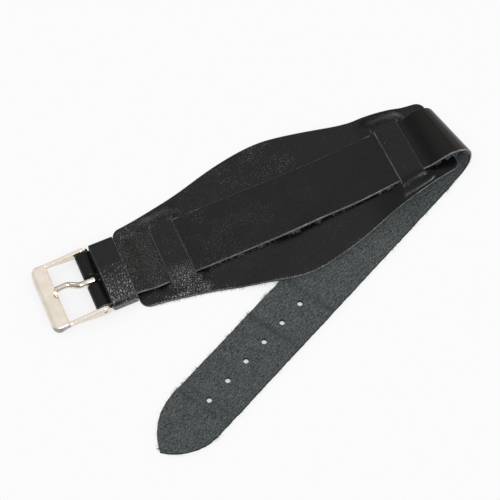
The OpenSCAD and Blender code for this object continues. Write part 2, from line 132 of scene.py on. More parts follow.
def addNode(tree, kind, settings=None, links=None):
    # a small first letter is one of the node's own settings, "stops" are a colour ramp's, anything else is
    # a socket; a link comes from a socket or from a node's first output
    made = tree.nodes.new(kind)
    for key, value in (settings or {}).items():
        if key == "stops":
            ramp = made.color_ramp.elements
            while len(ramp) < len(value):
                ramp.new(0.5)
            for stop, (place, colour) in zip(ramp, value):
                stop.position = place
                stop.color = linear(colour)
        elif isinstance(key, str) and key[0].islower():
            setattr(made, key, value)
        else:
            made.inputs[key].default_value = value
    for key, source in (links or {}).items():
        if isinstance(source, bpy.types.Node):
            source = next(socket for socket in source.outputs if socket.enabled)
        tree.links.new(source, made.inputs[key])
    return made


def newMaterial(name, surface, look):
    # a material with the surface that one of the functions below builds
    made = bpy.data.materials.new(name)
    made.use_nodes = True
    made.node_tree.nodes.clear()
    shader = surface(made.node_tree, look)
    addNode(made.node_tree, "ShaderNodeOutputMaterial", {}, {"Surface": shader})
    return made


def weighed(tree, parts, start=0.0):
    # a sum of sources, each with its weight
    total = None
    for source, weight in parts:
        links = {0: source} if total is None else {0: source, 2: total}
        total = addNode(tree, "ShaderNodeMath", {"operation": "MULTIPLY_ADD", 1: weight, 2: start}, links)
    return total


def tinted(tree, base, layers):
    # colours laid over a base, each with where it shows; the base is a colour too, or a node
    for where, colour in layers:
        fixed, links = {"data_type": "RGBA", 7: linear(colour)}, {0: where}
        if isinstance(base, str):
            fixed[6] = linear(base)
        else:
            links[6] = base
        base = addNode(tree, "ShaderNodeMix", fixed, links)
    return base


def onSkin(tree, stretch=(1, 1, 1), turn=0.0):
    # the flat hide in millimetres; its map is in centimetres
    flat = addNode(tree, "ShaderNodeUVMap", {"uv_map": "skin"})
    return addNode(tree, "ShaderNodeMapping", {"Scale": [10 * s for s in stretch], "Rotation": (0, 0, turn)},
                   {"Vector": flat})


def inPlace(tree, stretch=(1, 1, 1)):
    # the piece's own place in millimetres
    place = addNode(tree, "ShaderNodeTexCoord").outputs["Object"]
    return addNode(tree, "ShaderNodeMapping", {"Scale": [1000 * s for s in stretch]}, {"Vector": place})


def pebbles(tree, vector, size, feature="DISTANCE_TO_EDGE", wobble=0.3):
    # warped cells of a size in millimetres
    warp = addNode(tree, "ShaderNodeTexNoise", {"Scale": 0.9 / size, "Detail": 2}, {"Vector": vector})
    centred = addNode(tree, "ShaderNodeVectorMath", {"operation": "SUBTRACT", 1: (0.5, 0.5, 0.5)},
                      {0: warp.outputs["Color"]})
    moved = addNode(tree, "ShaderNodeVectorMath", {"operation": "MULTIPLY_ADD", 1: (2 * wobble * size,) * 3},
                    {0: centred, 2: vector})
    return addNode(tree, "ShaderNodeTexVoronoi",
                   {"voronoi_dimensions": "2D", "feature": feature, "Scale": 1 / size}, {"Vector": moved})


def between(lo, hi, toLo=0.0, toHi=1.0):
    # settings of a soft step from one value to another
    return {"interpolation_type": "SMOOTHSTEP", "From Min": lo, "From Max": hi,
            "To Min": toLo, "To Max": toHi}


# In the materials a noise's scale is its number of blotches in a millimetre
def grainLeather(tree, look):
    # chrome-tanned cowhide, grain side, pigmented black and pressed: rounded pebbles with narrow folds
    # between them, a satin sheen that breaks up into small glints, partly painted as pale pebble tops, and
    # pale specks where it is rubbed, which are partly painted highlights
    skin = onSkin(tree, (1 / look["drawnOut"], 1, 1), 0.35)
    slanted = onSkin(tree, (1, 0.4, 1), 0.5)
    patches, creases, motes, broken, cloud = [
        addNode(tree, "ShaderNodeTexNoise", {"Scale": scale, "Detail": detail, "Roughness": rough},
                {"Vector": flat})
        for scale, detail, rough, flat in (
            (0.12, 3, 0.5, skin), (1.4, 4, 0.7, slanted), (1.9, 1, 0.5, skin), (2.4, 4, 0.75, skin),
            (0.5, 4, 0.5, skin))]
    coarse, fine, hairs = [
        addNode(tree, "ShaderNodeMapRange", between(lo, hi),
                {"Value": pebbles(tree, skin, look["pebble"] * share, feature)})
        for lo, hi, share, feature in (
            (-0.05, 0.42, 1, "DISTANCE_TO_EDGE"), (0, 0.28, 0.45, "DISTANCE_TO_EDGE"),
            (0.02, 0.2, 0.6, "F1"))]
    opened, wear, glossAndGlintMask = [addNode(tree, "ShaderNodeAttribute", {"attribute_name": name})
                               for name in ("coarse", "wear", "gloss")]
    # pale specks: partly rubbed finish, partly painted highlights where puckers and the far edge catch the
    # light
    wornAndGlinting = weighed(tree, ((wear, 0.4), (broken, 1.0)))
    patchy, fold, dust, rubbedAndGlinting, glintTops, glintSpots = [
        addNode(tree, "ShaderNodeMapRange", between(*limits), {"Value": source})
        for source, limits in (
            (patches, (0.3, 0.7, 0.6, 1.25)), (coarse, (0.1, 0.45, 0.45, 0)),
            (motes, (0.77, 0.83, 0, look["dust"])), (wornAndGlinting, (0.86, 0.98)), (coarse, (0.6, 0.85, 0, 0.75)),
            (broken, (0.44, 0.62, 0.1, 1.6)))]
    # the grain stands up where it is open; where the leather is stretched, its pebble tops get a pale colour
    # that is a painted glint
    opened = weighed(tree, ((opened, look["opened"]),), look["evenly"])
    opened = addNode(tree, "ShaderNodeMath", {"operation": "MULTIPLY"}, {0: opened, 1: patchy})
    height = weighed(tree, ((coarse, 0.6), (fine, look["fine"]), (hairs, 0.05), (creases, look["creases"])))
    height = addNode(tree, "ShaderNodeMath", {"operation": "MULTIPLY"}, {0: height, 1: opened})
    bump = addNode(tree, "ShaderNodeBump", {"Distance": look["depth"] * mm}, {"Height": height})
    # painted glints: pebble tops made pale in sparse spots where the leather shines
    glintTops = addNode(tree, "ShaderNodeMath", {"operation": "MULTIPLY"}, {0: glintTops, 1: glintSpots})
    paintedGlints = addNode(tree, "ShaderNodeMath", {"operation": "MULTIPLY", "use_clamp": True},
                       {0: glintTops, 1: glossAndGlintMask})
    # the folds between pebbles are painted a little darker, as shade in the creases
    tone = tinted(tree, look["dark"], (
        (patches, look["light"]), (fold, "#080809"), (paintedGlints, "#6a6a6e"), (dust, "#8d8d89"),
        (rubbedAndGlinting, "#8a8c8b")))
    rough = weighed(tree, ((cloud, 0.14), (fold, 0.12), (glossAndGlintMask, -0.03)), look["rough"] / 2)
    shine = weighed(tree, ((glossAndGlintMask, 0.15),), look["shine"])
    return addNode(tree, "ShaderNodeBsdfPrincipled", {},
                   {"Base Color": tone, "Roughness": rough, "Specular IOR Level": shine, "Normal": bump})


def suedeLeather(tree, look):
    # the flesh side of the same hide, dyed through but unfinished: matt and fibrous, with lighter raised
    # nap;
    # its pits, and the tail's bends, are painted darker as shade
    skin = onSkin(tree)
    slanted = onSkin(tree, (0.5, 1.6, 1), 0.4)
    mottle, streaks, nap = [
        addNode(tree, "ShaderNodeTexNoise", {"Scale": scale, "Detail": 4, "Roughness": rough},
                {"Vector": flat})
        for scale, rough, flat in ((0.25, 0.6, skin), (1.3, 0.8, slanted), (2.7, 0.85, skin))]
    tufts = pebbles(tree, skin, 0.5, "F1", 0.9)
    speck = weighed(tree, ((nap, 0.5), (streaks, 0.5), (tufts, -0.2)))
    lighter, shadedPits, raised = [
        addNode(tree, "ShaderNodeMapRange", between(*limits), {"Value": source})
        for source, limits in (
            (mottle, (0.32, 0.7)), (speck, (0.3, 0.43, 1, 0)), (speck, (0.42, 0.56, 0, 0.8)))]
    # the tail's bends are painted darker, as shade in the creases
    bend = weighed(tree, ((addNode(tree, "ShaderNodeAttribute", {"attribute_name": "bend"}), 0.45),))
    tone = tinted(tree, look["dark"], (
        (lighter, look["light"]), (shadedPits, look["pit"]), (raised, look["fibre"]), (bend, look["pit"])))
    height = weighed(tree, ((speck, 1.0), (mottle, 0.5)))
    bump = addNode(tree, "ShaderNodeBump", {"Distance": look["depth"] * mm}, {"Height": height})
    return addNode(tree, "ShaderNodeBsdfPrincipled",
                   {"Roughness": 0.95, "Specular IOR Level": 0.12, "Sheen Weight": look["sheen"],
                    "Sheen Roughness": 0.6}, {"Base Color": tone, "Normal": bump})


def cutEdge(tree, look):
    # the core of the hide where the knife went: a pale line under the grain, then dark loose fibres, with
    # painted shade below the line and in the gaps between fibres
    spot = inPlace(tree)
    patches, fibres = [
        addNode(tree, "ShaderNodeTexNoise", {"Scale": scale, "Detail": detail, "Roughness": rough},
                {"Vector": spot})
        for scale, detail, rough in ((0.3, 3, 0.6), (3.0, 4, 0.8))]
    deep = addNode(tree, "ShaderNodeAttribute", {"attribute_name": "deep"})
    shadeBelowLine = weighed(tree, ((fibres, 0.7), (deep, 1.0)), -0.175)
    lighter, shadedPits, under = [
        addNode(tree, "ShaderNodeMapRange", between(*limits), {"Value": source})
        for source, limits in ((patches, (0.3, 0.7)), (fibres, (0.35, 0.6, 1, 0)),
                               (shadeBelowLine, (look["line"] - 0.12, look["line"] + 0.12)))]
    tone = tinted(tree, look["dark"], (
        (lighter, look["light"]), (shadedPits, look["pit"]), (under, look["under"])))
    bump = addNode(tree, "ShaderNodeBump", {"Distance": 0.1 * mm}, {"Height": fibres})
    return addNode(tree, "ShaderNodeBsdfPrincipled", {"Roughness": 0.85, "Specular IOR Level": 0.15},
                   {"Base Color": tone, "Normal": bump})


def looseFibre(tree, look):
    # single collagen fibres pulled out of the cut hide: matt, a little lighter than the hide
    patches = addNode(tree, "ShaderNodeTexNoise", {"Scale": 0.8}, {"Vector": inPlace(tree)})
    tone = tinted(tree, look["dark"], ((patches, look["light"]),))
    return addNode(tree, "ShaderNodeBsdfPrincipled", {"Roughness": 0.8, "Specular IOR Level": 0.2},
                   {"Base Color": tone})


def metal(tree, look):
    # nickel plate or plain steel: marks of the wheel in one direction, slight smears and small nicks;
    # the real marks are finer than the render can show, so they are drawn a few to a millimetre
    spot = inPlace(tree)
    strokes = addNode(tree, "ShaderNodeTexNoise", {"Scale": look["strokes"], "Detail": 4, "Roughness": 0.7},
                      {"Vector": inPlace(tree, look["brush"])})
    smear = addNode(tree, "ShaderNodeTexNoise", {"Scale": 0.3, "Detail": 3}, {"Vector": spot})
    nicks, smeared = [
        addNode(tree, "ShaderNodeMapRange", between(*limits), {"Value": source})
        for source, limits in ((pebbles(tree, spot, 1.3, "F1", 0.9), (0, 0.06, 1, 0)), (smear, (0.3, 0.7)))]
    tone = tinted(tree, look["dark"], ((smeared, look["light"]),))
    rough = weighed(tree, ((strokes, look["spread"]), (nicks, 0.15)), look["rough"] / 2)
    height = weighed(tree, ((strokes, 1.0), (nicks, -0.8)))
    bump = addNode(tree, "ShaderNodeBump", {"Distance": look["depth"] * mm}, {"Height": height})
    return addNode(tree, "ShaderNodeBsdfPrincipled", {"Metallic": 1.0},
                   {"Base Color": tone, "Roughness": rough, "Normal": bump})


def linenThread(tree, look):
    # waxed linen thread, black, with a slow twist
    spot = inPlace(tree, (1, 0.6, 0.8))
    twist = addNode(tree, "ShaderNodeTexWave", {"Scale": 1.6, "Distortion": 0.6}, {"Vector": spot})
    twist = twist.outputs["Fac"]
    tone = tinted(tree, look["dark"], ((twist, look["light"]),))
    bump = addNode(tree, "ShaderNodeBump", {"Distance": 0.04 * mm}, {"Height": twist})
    return addNode(tree, "ShaderNodeBsdfPrincipled", {"Roughness": 0.6},
                   {"Base Color": tone, "Normal": bump})


padGrain = newMaterial("pad grain leather", grainLeather, {
    "pebble": 0.68, "drawnOut": 1.15, "fine": 0.08, "evenly": 0.2, "opened": 0.8, "creases": 0.1,
    "depth": 0.22, "dark": "#070709", "light": "#0c0c0e", "rough": 0.24, "shine": 0.27, "dust": 0.35})
strapGrain = newMaterial("strap grain leather", grainLeather, {
    "pebble": 0.72, "drawnOut": 1.1, "fine": 0.12, "evenly": 0.1, "opened": 0.75, "creases": 0.3,
    "depth": 0.18, "dark": "#080807", "light": "#0c0c0b", "rough": 0.36, "shine": 0.23, "dust": 0.5})
keeperGrain = newMaterial("keeper grain leather", grainLeather, {
    "pebble": 0.8, "drawnOut": 1.7, "fine": 0.1, "evenly": 0.12, "opened": 0.6, "creases": 0.3,
    "depth": 0.3, "dark": "#08080a", "light": "#0d0d0f", "rough": 0.22, "shine": 0.32, "dust": 0.2})
suede = newMaterial("strap flesh side", suedeLeather, {
    "dark": "#34393a", "light": "#3f4444", "pit": "#222627", "fibre": "#616766", "depth": 0.18,
    "sheen": 0.16})
padSuede = newMaterial("pad flesh side", suedeLeather, {
    "dark": "#3a403f", "light": "#4a5150", "pit": "#252929", "fibre": "#69716f", "depth": 0.2,
    "sheen": 0.2})
# the cut edges' darkest colour, under, is painted shade below the pale line, where loose fibres are
strapEdge = newMaterial("strap cut edge", cutEdge, {
    "dark": "#676966", "light": "#90928f", "pit": "#44494a", "under": "#1b1d1d", "line": 0.55})
padEdge = newMaterial("pad cut edge", cutEdge, {
    "dark": "#52575a", "light": "#7f8586", "pit": "#363a3c", "under": "#1c1e1e", "line": 0.55})
# the walls of the punched holes: the cut edge's colours made darker, painted shade inside the holes
shadedHoleWall = newMaterial("punched wall", cutEdge, {
    "dark": "#1d2021", "light": "#2c3031", "pit": "#151718", "under": "#0f1011", "line": 0.6})
paleFibre = newMaterial("pale leather fibre", looseFibre, {"dark": "#4a5252", "light": "#7c8685"})
darkFibre = newMaterial("dark leather fibre", looseFibre, {"dark": "#232424", "light": "#5a5f5e"})
plateMetal = newMaterial("satin nickel plate", metal, {
    "brush": (1, 0.06, 1), "strokes": 4.0, "depth": 0.003, "dark": "#f0e4d4", "light": "#f8efe3",
    "rough": 0.3, "spread": 0.14})
# the polish is a real change of finish; its darker colour than the plate is painted shade on sides, arms and
# tongue
polishedMetalPaintedDarker = newMaterial("polished nickel", metal, {
    "brush": (0.3, 1, 1), "strokes": 2.0, "depth": 0.002, "dark": "#ddd2c6", "light": "#e9dfd3",
    "rough": 0.2, "spread": 0.07})
barMetal = newMaterial("turned steel", metal, {
    "brush": (1, 1, 1), "strokes": 6.0, "depth": 0.004, "dark": "#8d8c8a", "light": "#aaa9a6",
    "rough": 0.4, "spread": 0.2})
wireMetal = newMaterial("staple and spring wire", metal, {
    "brush": (1, 1, 1), "strokes": 5.0, "depth": 0.006, "dark": "#77767a", "light": "#98979a",
    "rough": 0.45, "spread": 0.2})
waxedThread = newMaterial("waxed thread", linenThread, {"dark": "#101011", "light": "#2c2c2e"})
print("materials done")


# A closed sheet of leather between two grids of points; kinds of faces: 0 upper, 1 lower, 2 cut edge
def sheetObject(name, top, low, skin, gap, materials, attributes, openCells=None):
    n, m = gap.shape
    count = n * m
    index = np.arange(count).reshape(n, m)
    points = np.concatenate([top.reshape(-1, 3), low.reshape(-1, 3)]) * mm
    if openCells is None:
        openCells = np.ones((n - 1, m - 1), dtype=bool)
    rim = gap < 0.13  # the cut edge's colour reaches this far onto the faces
    a, b, c, d = index[:-1, :-1], index[1:, :-1], index[1:, 1:], index[:-1, 1:]
    onRim = (rim[:-1, :-1] & rim[1:, :-1] & rim[1:, 1:] & rim[:-1, 1:])[openCells]
    faces = [np.stack([p[openCells] for p in (a, b, c, d)], axis=1),
             np.stack([p[openCells] for p in (a, d, c, b)], axis=1) + count]
    kinds = [np.where(onRim, 2, 0), np.where(onRim, 2, 1)]
    beyond = np.pad(openCells, 1)
    for p, q, neighbour in ((a, b, beyond[1:-1, :-2]), (b, c, beyond[2:, 1:-1]), (c, d, beyond[1:-1, 2:]),
                            (d, a, beyond[:-2, 1:-1])):
        bare = openCells & ~neighbour
        faces.append(np.stack([p[bare], p[bare] + count, q[bare] + count, q[bare]], axis=1))
        kinds.append(np.full(bare.sum(), 2))
    faces = np.concatenate(faces)
    mesh = bpy.data.meshes.new(name)
    mesh.from_pydata(points.tolist(), [], faces.tolist())
    mesh.polygons.foreach_set("material_index", np.concatenate(kinds))
    mesh.polygons.foreach_set("use_smooth", [True] * len(faces))
    loops = np.empty(len(mesh.loops), dtype=np.int32)
    mesh.loops.foreach_get("vertex_index", loops)
    flat = np.concatenate([skin.reshape(-1, 2), skin.reshape(-1, 2)]) / 10
    mesh.uv_layers.new(name="skin").data.foreach_set("uv", flat[loops].ravel())
    depths = {"deep": (np.zeros((n, m)), np.ones((n, m)))}
    for key, values in {**depths, **attributes}.items():
        upper, lower = values if isinstance(values, tuple) else (values, values)
        layer = mesh.attributes.new(key, "FLOAT", "POINT")
        layer.data.foreach_set("value", np.concatenate([upper.ravel(), lower.ravel()]))
    for material in materials:
        mesh.materials.append(material)
    mesh.validate()
    mesh.update()
    return inScene(name, mesh)


def gridNormals(points):
    normal = np.cross(np.gradient(points, axis=0), np.gradient(points, axis=1))
    return normal / np.maximum(np.linalg.norm(normal, axis=2, keepdims=True), 1e-9)


def applied(piece):
    # the piece with its modifiers worked into a plain mesh
    graph = bpy.context.evaluated_depsgraph_get()
    result = bpy.data.meshes.new_from_object(piece.evaluated_get(graph))
    piece.modifiers.clear()
    old = piece.data
    piece.data = result
    bpy.data.meshes.remove(old)


def seat(piece, body, node):
    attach(piece, body)
    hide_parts(node)
    print(piece.name, "done,", len(piece.data.polygons), "faces")


# Sizes of the leather, in millimetres, as in the CAD source
padLow = boxOf("cuff_pad")[0]
barLow, barHigh = boxOf("bar_tube")
keeperLow, keeperHigh = boxOf("keeper_loop")
bar = {"x": (barLow[0] + barHigh[0]) / 2, "z": (barLow[2] + barHigh[2]) / 2, "d": barHigh[2] - barLow[2]}
pad = {
    "half": -padLow[0], "rim": 12.9, "taper": 4.0, "bell": 5.7, "waist": 0.35, "corner": 2.5, "slitIn": 32.8,
    "band": 7.7, "overNear": 1.4, "overFar": 0.12, "slitGap": 0.12, "thick": 1.0, "lift": 7.5,
    "liftFrom": 3.0, "tilt": 0.34, "draw": 0.5, "nearSwell": 0.7, "farSwell": 1.05, "lipFade": 4.5,
    "farRimUp": 0.24,
}
strap = {
    "half": 9.0, "thick": 1.4, "gap": 0.1, "dip": 0.3, "bow": 0.45, "step": 6.5, "foldR": 5.15,
    "foldCone": 0.18, "foldBack": 2.8, "foldIn": 30.0, "tailAngle": 24.6, "tail": 122.8, "tip": 15.0,
    "fan": 6.0, "neck": 2.4, "holes": 6, "hole": 1.65, "pitch": 7.8, "firstHole": 20.4, "riseFrom": 1.4,
    "slot": 2.6,
}
pad["slitOut"] = pad["slitIn"] + pad["band"]
pad["liftTo"] = pad["half"] + 6
pad["bandUp"] = pad["thick"] + strap["thick"] + 2 * strap["gap"]
strap["overPad"] = pad["thick"] + strap["gap"] + strap["thick"] / 2
foldA = math.radians(strap["tailAngle"] / 2)
tailA = math.radians(strap["tailAngle"])
foldX = pad["half"] - strap["foldBack"]
foldN = np.array([math.cos(foldA), math.sin(foldA)])
foldU = np.array([-math.sin(foldA), math.cos(foldA)])
tailFrom = np.array([foldX, 0.0]) - strap["foldR"] * math.pi * math.tan(foldA) * foldU
tailE = -np.array([math.cos(tailA), math.sin(tailA)])
tailM = np.array([-math.sin(tailA), math.cos(tailA)])


def lift(x):
    return pad["lift"] * smooth((x - pad["liftFrom"]) / (pad["liftTo"] - pad["liftFrom"]))


def overTail(x, y):
    d = strap["half"] - (x - tailFrom[0]) * tailM[0] - (y - tailFrom[1]) * tailM[1]
    return (strap["thick"] + 2 * strap["gap"]) * smooth((d + 9) / 8)


def baseHeight(x, y):
    a = lift(x) * (1 - pad["tilt"] * y / pad["rim"])
    return (a ** 3 + overTail(x, y) ** 3) ** (1 / 3)


def placed(x):
    # leather that climbs reaches less far along the table
    span = pad["liftTo"] - pad["liftFrom"]
    t = np.clip((x - pad["liftFrom"]) / span, 0, 1)
    return x - 18 * pad["lift"] ** 2 / span * t ** 3 * (1 / 3 - t / 2 + t * t / 5)


def padSide(x):
    t = np.minimum(1, abs(x) / pad["half"])
    straight = pad["rim"] + pad["taper"] * (1 - np.sqrt(t * t + 0.01))
    belly = pad["bell"] * (1 + np.cos(np.pi * t)) / 2
    return straight + belly - pad["waist"] * hill((t - 0.55) / 0.16)


def padHalf(x, side):
    r = pad["corner"]
    d = np.maximum(0, abs(x) - pad["half"] + r)
    corner = r - np.sqrt(np.maximum(0, r * r - d * d))
    drawn = np.sin(np.pi * np.clip((x - pad["liftFrom"]) / (pad["half"] - pad["liftFrom"]), 0, 1))
    near = pad["nearSwell"] * hill((x / pad["half"] + 0.08) / 0.18)
    far = pad["farSwell"] * hill((x - pad["slitIn"] - pad["band"] / 2) / 9)
    return padSide(x) - corner + (near if side < 0 else far) - pad["draw"] * drawn


def padColumns(step):
    # places along the pad and whether each lies on a band, closer together at ends and slits
    ends = [r * pad["corner"] for r in (0, 0.02, 0.05, 0.1, 0.17, 0.26, 0.37, 0.5, 0.65, 0.8)]
    near = [0.0, 0.05, 0.12, 0.22, 0.38, 0.62]
    slits = [-pad["slitOut"], -pad["slitIn"], pad["slitIn"], pad["slitOut"]]
    starts = [-pad["half"]] + [s + pad["slitGap"] / 2 for s in slits]
    stops = [s - pad["slitGap"] / 2 for s in slits] + [pad["half"]]
    places, banded = [], []
    for k, (lo, hi) in enumerate(zip(starts, stops)):
        first = ends if k == 0 else near
        last = near if k < len(slits) else ends
        a, b = lo + first[-1], hi - last[-1]
        steps = max(3, int((b - a) / step))
        stretch = [lo + f for f in first] + [mix(a, b, i / steps) for i in range(1, steps)]
        stretch += [hi - f for f in reversed(last)]
        places += stretch
        banded += [k % 2] * len(stretch)
    return np.array(places), np.array(banded)


def padRows(x, look):
    # places across the pad, closer together at the strap's edge and the rim, its half width at each, and
    # the rows that the slits reach
    halves, widths, slitRow = [], [], {}
    for side, over in ((-1, pad["overNear"]), (1, pad["overFar"])):
        end = strap["half"] + over
        inner = np.concatenate([np.linspace(0, strap["half"] - 0.4, int(strap["half"] / look["row"])),
                                np.linspace(strap["half"], end, 5)])
        slitRow[side] = len(inner) - (1 if side < 0 else 4)
        w = padHalf(x, side)[:, None]
        rows = inner[None, :] * np.minimum(1, w / (end + 1.2))
        rim = w - np.array(look["rimRows"])[None, ::-1] * np.minimum(1, (w - rows[:, -1:]) / 1.6)
        share = (np.arange(1, look["outer"] + 1) / (look["outer"] + 1))[None, :]
        halves.append(np.concatenate([rows, mix(rows[:, -1:], rim[:, :1], share), rim], axis=1))
        widths.append(w)
    y = np.concatenate([-halves[0][:, :0:-1], halves[1]], axis=1)
    middle = halves[0].shape[1] - 1
    return y, np.where(y > 0, widths[1], widths[0]), slice(middle - slitRow[-1], middle + slitRow[1])


def padEdges(x, y, w, over, slit):
    # how far each point lies from the nearest slit and from the rim
    fromSlit = np.hypot(np.maximum(0, slit - pad["slitGap"] / 2),
                        np.maximum(0, abs(y) - strap["half"] - over))
    r = pad["corner"]
    dx = abs(x) - pad["half"] + r
    dy = abs(y) - (w + r - np.sqrt(np.maximum(0, r * r - np.maximum(0, dx) ** 2))) + r
    corner = r - np.hypot(np.maximum(0, dx), np.maximum(0, dy))
    return fromSlit, np.where((dx > 0) & (dy > 0), corner, np.minimum(pad["half"] - abs(x), w - abs(y)))


def makePad():
    look = {"step": 0.38, "row": 0.5, "outer": 16, "rimRows": (0.0, 0.05, 0.12, 0.22, 0.38, 0.65),
            "round": 0.3, "crumple": 0.16, "crumpleSize": 1.3, "pucker": 0.16, "waves": 0.12,
            "edgeShown": 0.24, "fibresFrom": -48.5}
    x, banded = padColumns(look["step"])
    y, w, slitRows = padRows(x, look)
    x = x[:, None] + 0 * y
    ay, far = abs(y), y > 0
    over = np.where(far, pad["overFar"], pad["overNear"])
    slit = np.min([abs(abs(x) - s) for s in (pad["slitIn"], pad["slitOut"])], axis=0)
    fromSlit, fromRim = padEdges(x, y, w, over, slit)
    gap = np.maximum(0, np.minimum(fromSlit, fromRim))
    gap[:, 0] = gap[:, -1] = gap[0] = gap[-1] = 0

    # the bands go over the strap and slope down to the rim, and pull the leather up beside the slits' ends
    beside = ay - strap["half"]
    slope = 1 - smooth((beside - 0.15) / (w - 0.4 - strap["half"] - 0.15))
    slope = np.where(far & (x > 0), mix(pad["farRimUp"], 1, slope), slope)
    shoulder = smooth((beside - 0.05) / (over - 0.05)) * (1 - smooth(slit / pad["lipFade"]))
    shoulder = shoulder * np.where(far, 0.55 + 0.45 * smooth((beside - over) / 1.6), 1.0)
    z = baseHeight(x, y) + pad["bandUp"] * slope * np.where(banded[:, None] > 0, 1.0, shoulder)

    # the leather crumples where it comes down from a band, and puckers at the ends of the slits
    bandMid = abs(abs(x) - pad["slitIn"] - pad["band"] / 2)
    down = hill(bandMid / 4.6) * smooth((ay - 8.6) / 1.6) * (1 - smooth((ay - w + 2.2) / 2))
    down = down * np.where(x < 0, np.where(far, 0.25, 1.0), 0.1)
    creased = hill(bandMid / 4.2) * smooth((-y - 3) / 5) * (1 - smooth((ay - w + 2) / 2)) * (x < 0)
    down = np.maximum(down, 0.75 * creased)
    z = z + look["crumple"] * down * (pebbled(x, y, look["crumpleSize"], 3.0) - 0.25)
    lips = hill(np.maximum(0, slit - 0.6) / 1.4) * hill((beside - over - 0.4) / 0.8)
    lips = lips * np.where(~far & (x > 0), 0.35, 1.0)
    z = z + look["pucker"] * lips * np.maximum(0, 0.6 + roughly(x * 1.3, y * 0.7, 0.8, 3.1))
    z = z + look["waves"] * np.maximum(0, 0.3 + roughly(x * 0.7, y, 0.09, 0.4)) * smooth(gap / 2)
    z = np.maximum(z, 0)

    # the grain opens there too, at the corner by the keeper and in a patch on the far side, and the sheet
    # shines, with painted glints on its pebble tops, where it is stretched, least of all on the near side of
    # the lifted end
    cornerGrain = hill((x + 45) / 7) * smooth((y - 7) / 4)
    farPatch = hill((x + 2) / 16) * smooth((y - 9) / 4)
    coarse = 0.05 + 0.57 * down + 0.1 * smooth((-x - 6) / 28) + 0.7 * cornerGrain + 0.35 * farPatch
    coarse = coarse + 0.3 * lips - 0.4 * smooth((x - 15) / 10) * smooth((ay - 8) / 2) * (y < 0)
    gloss = 0.07 + 0.05 * smooth((-x - 4) / 16) * (1 - smooth((-10 - y) / 3)) + 0.35 * cornerGrain
    gloss = np.maximum(gloss, np.maximum(creased, down * (x < 0)))
    gloss = gloss - 0.6 * smooth((x - 20) / 8) * smooth((-8 - y) / 2)

    low = np.stack([placed(x), y, z], axis=2)
    tall = np.minimum(1.3, np.sqrt(1 + (np.gradient(z, axis=1) / np.gradient(y, axis=1)) ** 2))
    top = low.copy()
    top[:, :, 2] += pad["thick"] * tall - rolledOff(gap, look["round"])
    low[:, :, 2] += rolledOff(gap, look["round"] * 0.6)
    # the bands' left edges were cut a little slanting, so that their cut shows
    for mark in (-pad["slitOut"], pad["slitIn"]):
        inside = (x > mark) * np.maximum(0, 1 - (x - mark) / 0.6) * (ay < strap["half"] + over)
        top[:, :, 0] += look["edgeShown"] * inside
    openCells = np.ones((len(x) - 1, len(y[0]) - 1), dtype=bool)
    openCells[np.flatnonzero(np.diff(banded)), slitRows] = False
    # fibres stand on the near side's cut edges, more to the left, but not at the end that the keeper touches
    fuzz = (gap < 0.05) * np.where(far, 0.0, smooth((-x - 5) / 20)) * (x > look["fibresFrom"])
    # the puckers beside the slits' ends get pale specks, painted highlights where the shiny puckers catch
    # the light
    return sheetObject("cuff_pad_leather", top, low, np.stack([x, y], axis=2), gap,
                       [padGrain, padSuede, padEdge],
                       {"coarse": coarse, "wear": 0.6 * lips * np.where(far, 1.0, 0.5), "bend": 0 * coarse,
                        "gloss": gloss, "fuzz": (0 * fuzz, fuzz),
                        "deep": (0 * gap, np.where(fromSlit < fromRim, 0.4, 1.0))}, openCells)


# The strap's middle plane, by stretches; v runs across it from -1 to 1
def runHeight(x, y):
    d = abs(abs(x) - pad["slitIn"] - pad["band"] / 2) / (pad["band"] / 2)
    dip = strap["dip"] * (1 + math.cos(math.pi * d)) / 2 if d < 1 else 0
    bow = strap["bow"] * math.cos(math.pi / 2 * x / pad["slitIn"]) ** 2 if abs(x) < pad["slitIn"] else 0
    return baseHeight(x, y) + strap["overPad"] - dip + bow


layer = (strap["thick"] + strap["gap"]) / 2
loopR = bar["d"] / 2 + 0.05 + strap["thick"] / 2
keeperEnd = keeperHigh[0]
tipR = (strap["tip"] ** 2 + strap["half"] ** 2) / (2 * strap["half"])


def turnedLine(x, v):
    return x + 0 * v, v * strap["half"], bar["z"] - layer + 0 * v


def loopLine(a, v):
    return bar["x"] - loopR * math.cos(a) + 0 * v, v * strap["half"], bar["z"] + loopR * math.sin(a) + 0 * v


def neckLine(t, v, side):
    z = bar["z"] + side * mix(loopR, layer, float(smooth(t)))
    return bar["x"] + strap["neck"] * t + 0 * v, v * strap["half"], z + 0 * v


def flatLine(x, v):
    y = v * strap["half"]
    z = mix(bar["z"] + layer, runHeight(x, y), float(smooth((x - keeperEnd - 0.4) / strap["step"])))
    return placed(x) + 0 * v, y, z + 0 * v


def rollLine(a, v):
    r = strap["foldR"] * (1 - strap["foldCone"] * v)
    b = (v * strap["half"] - strap["foldR"] * a * math.sin(foldA)) / math.cos(foldA)
    out = strap["foldR"] - r + r * math.sin(a)
    place = [foldX * (k == 0) + out * foldN[k] + b * foldU[k] for k in (0, 1)]
    return place[0], place[1], strap["thick"] / 2 + r * (1 + math.cos(a))


def riseLine(t, v):
    x0 = pad["slitOut"] + strap["riseFrom"]
    y0 = v * strap["half"]
    a = math.radians(strap["foldIn"])
    px, py, pz = placed(x0), y0, runHeight(x0, y0)
    qx, qy, qz = rollLine(-a, v)
    run = np.hypot(qx - px, qy - py)
    m0 = (pz - runHeight(x0 - 0.5, y0)) / 0.5 * run
    m1 = math.tan(a) * run
    z = (2 * t ** 3 - 3 * t * t + 1) * pz + (t ** 3 - 2 * t * t + t) * m0
    return mix(px, qx, t), mix(py, qy, t), z + (3 * t * t - 2 * t ** 3) * qz + (t ** 3 - t * t) * m1


def tailHalf(s):
    d = max(0, s - strap["tail"] + strap["tip"])
    return max(0.2, strap["half"] - tipR + math.sqrt(max(0, tipR * tipR - d * d)))


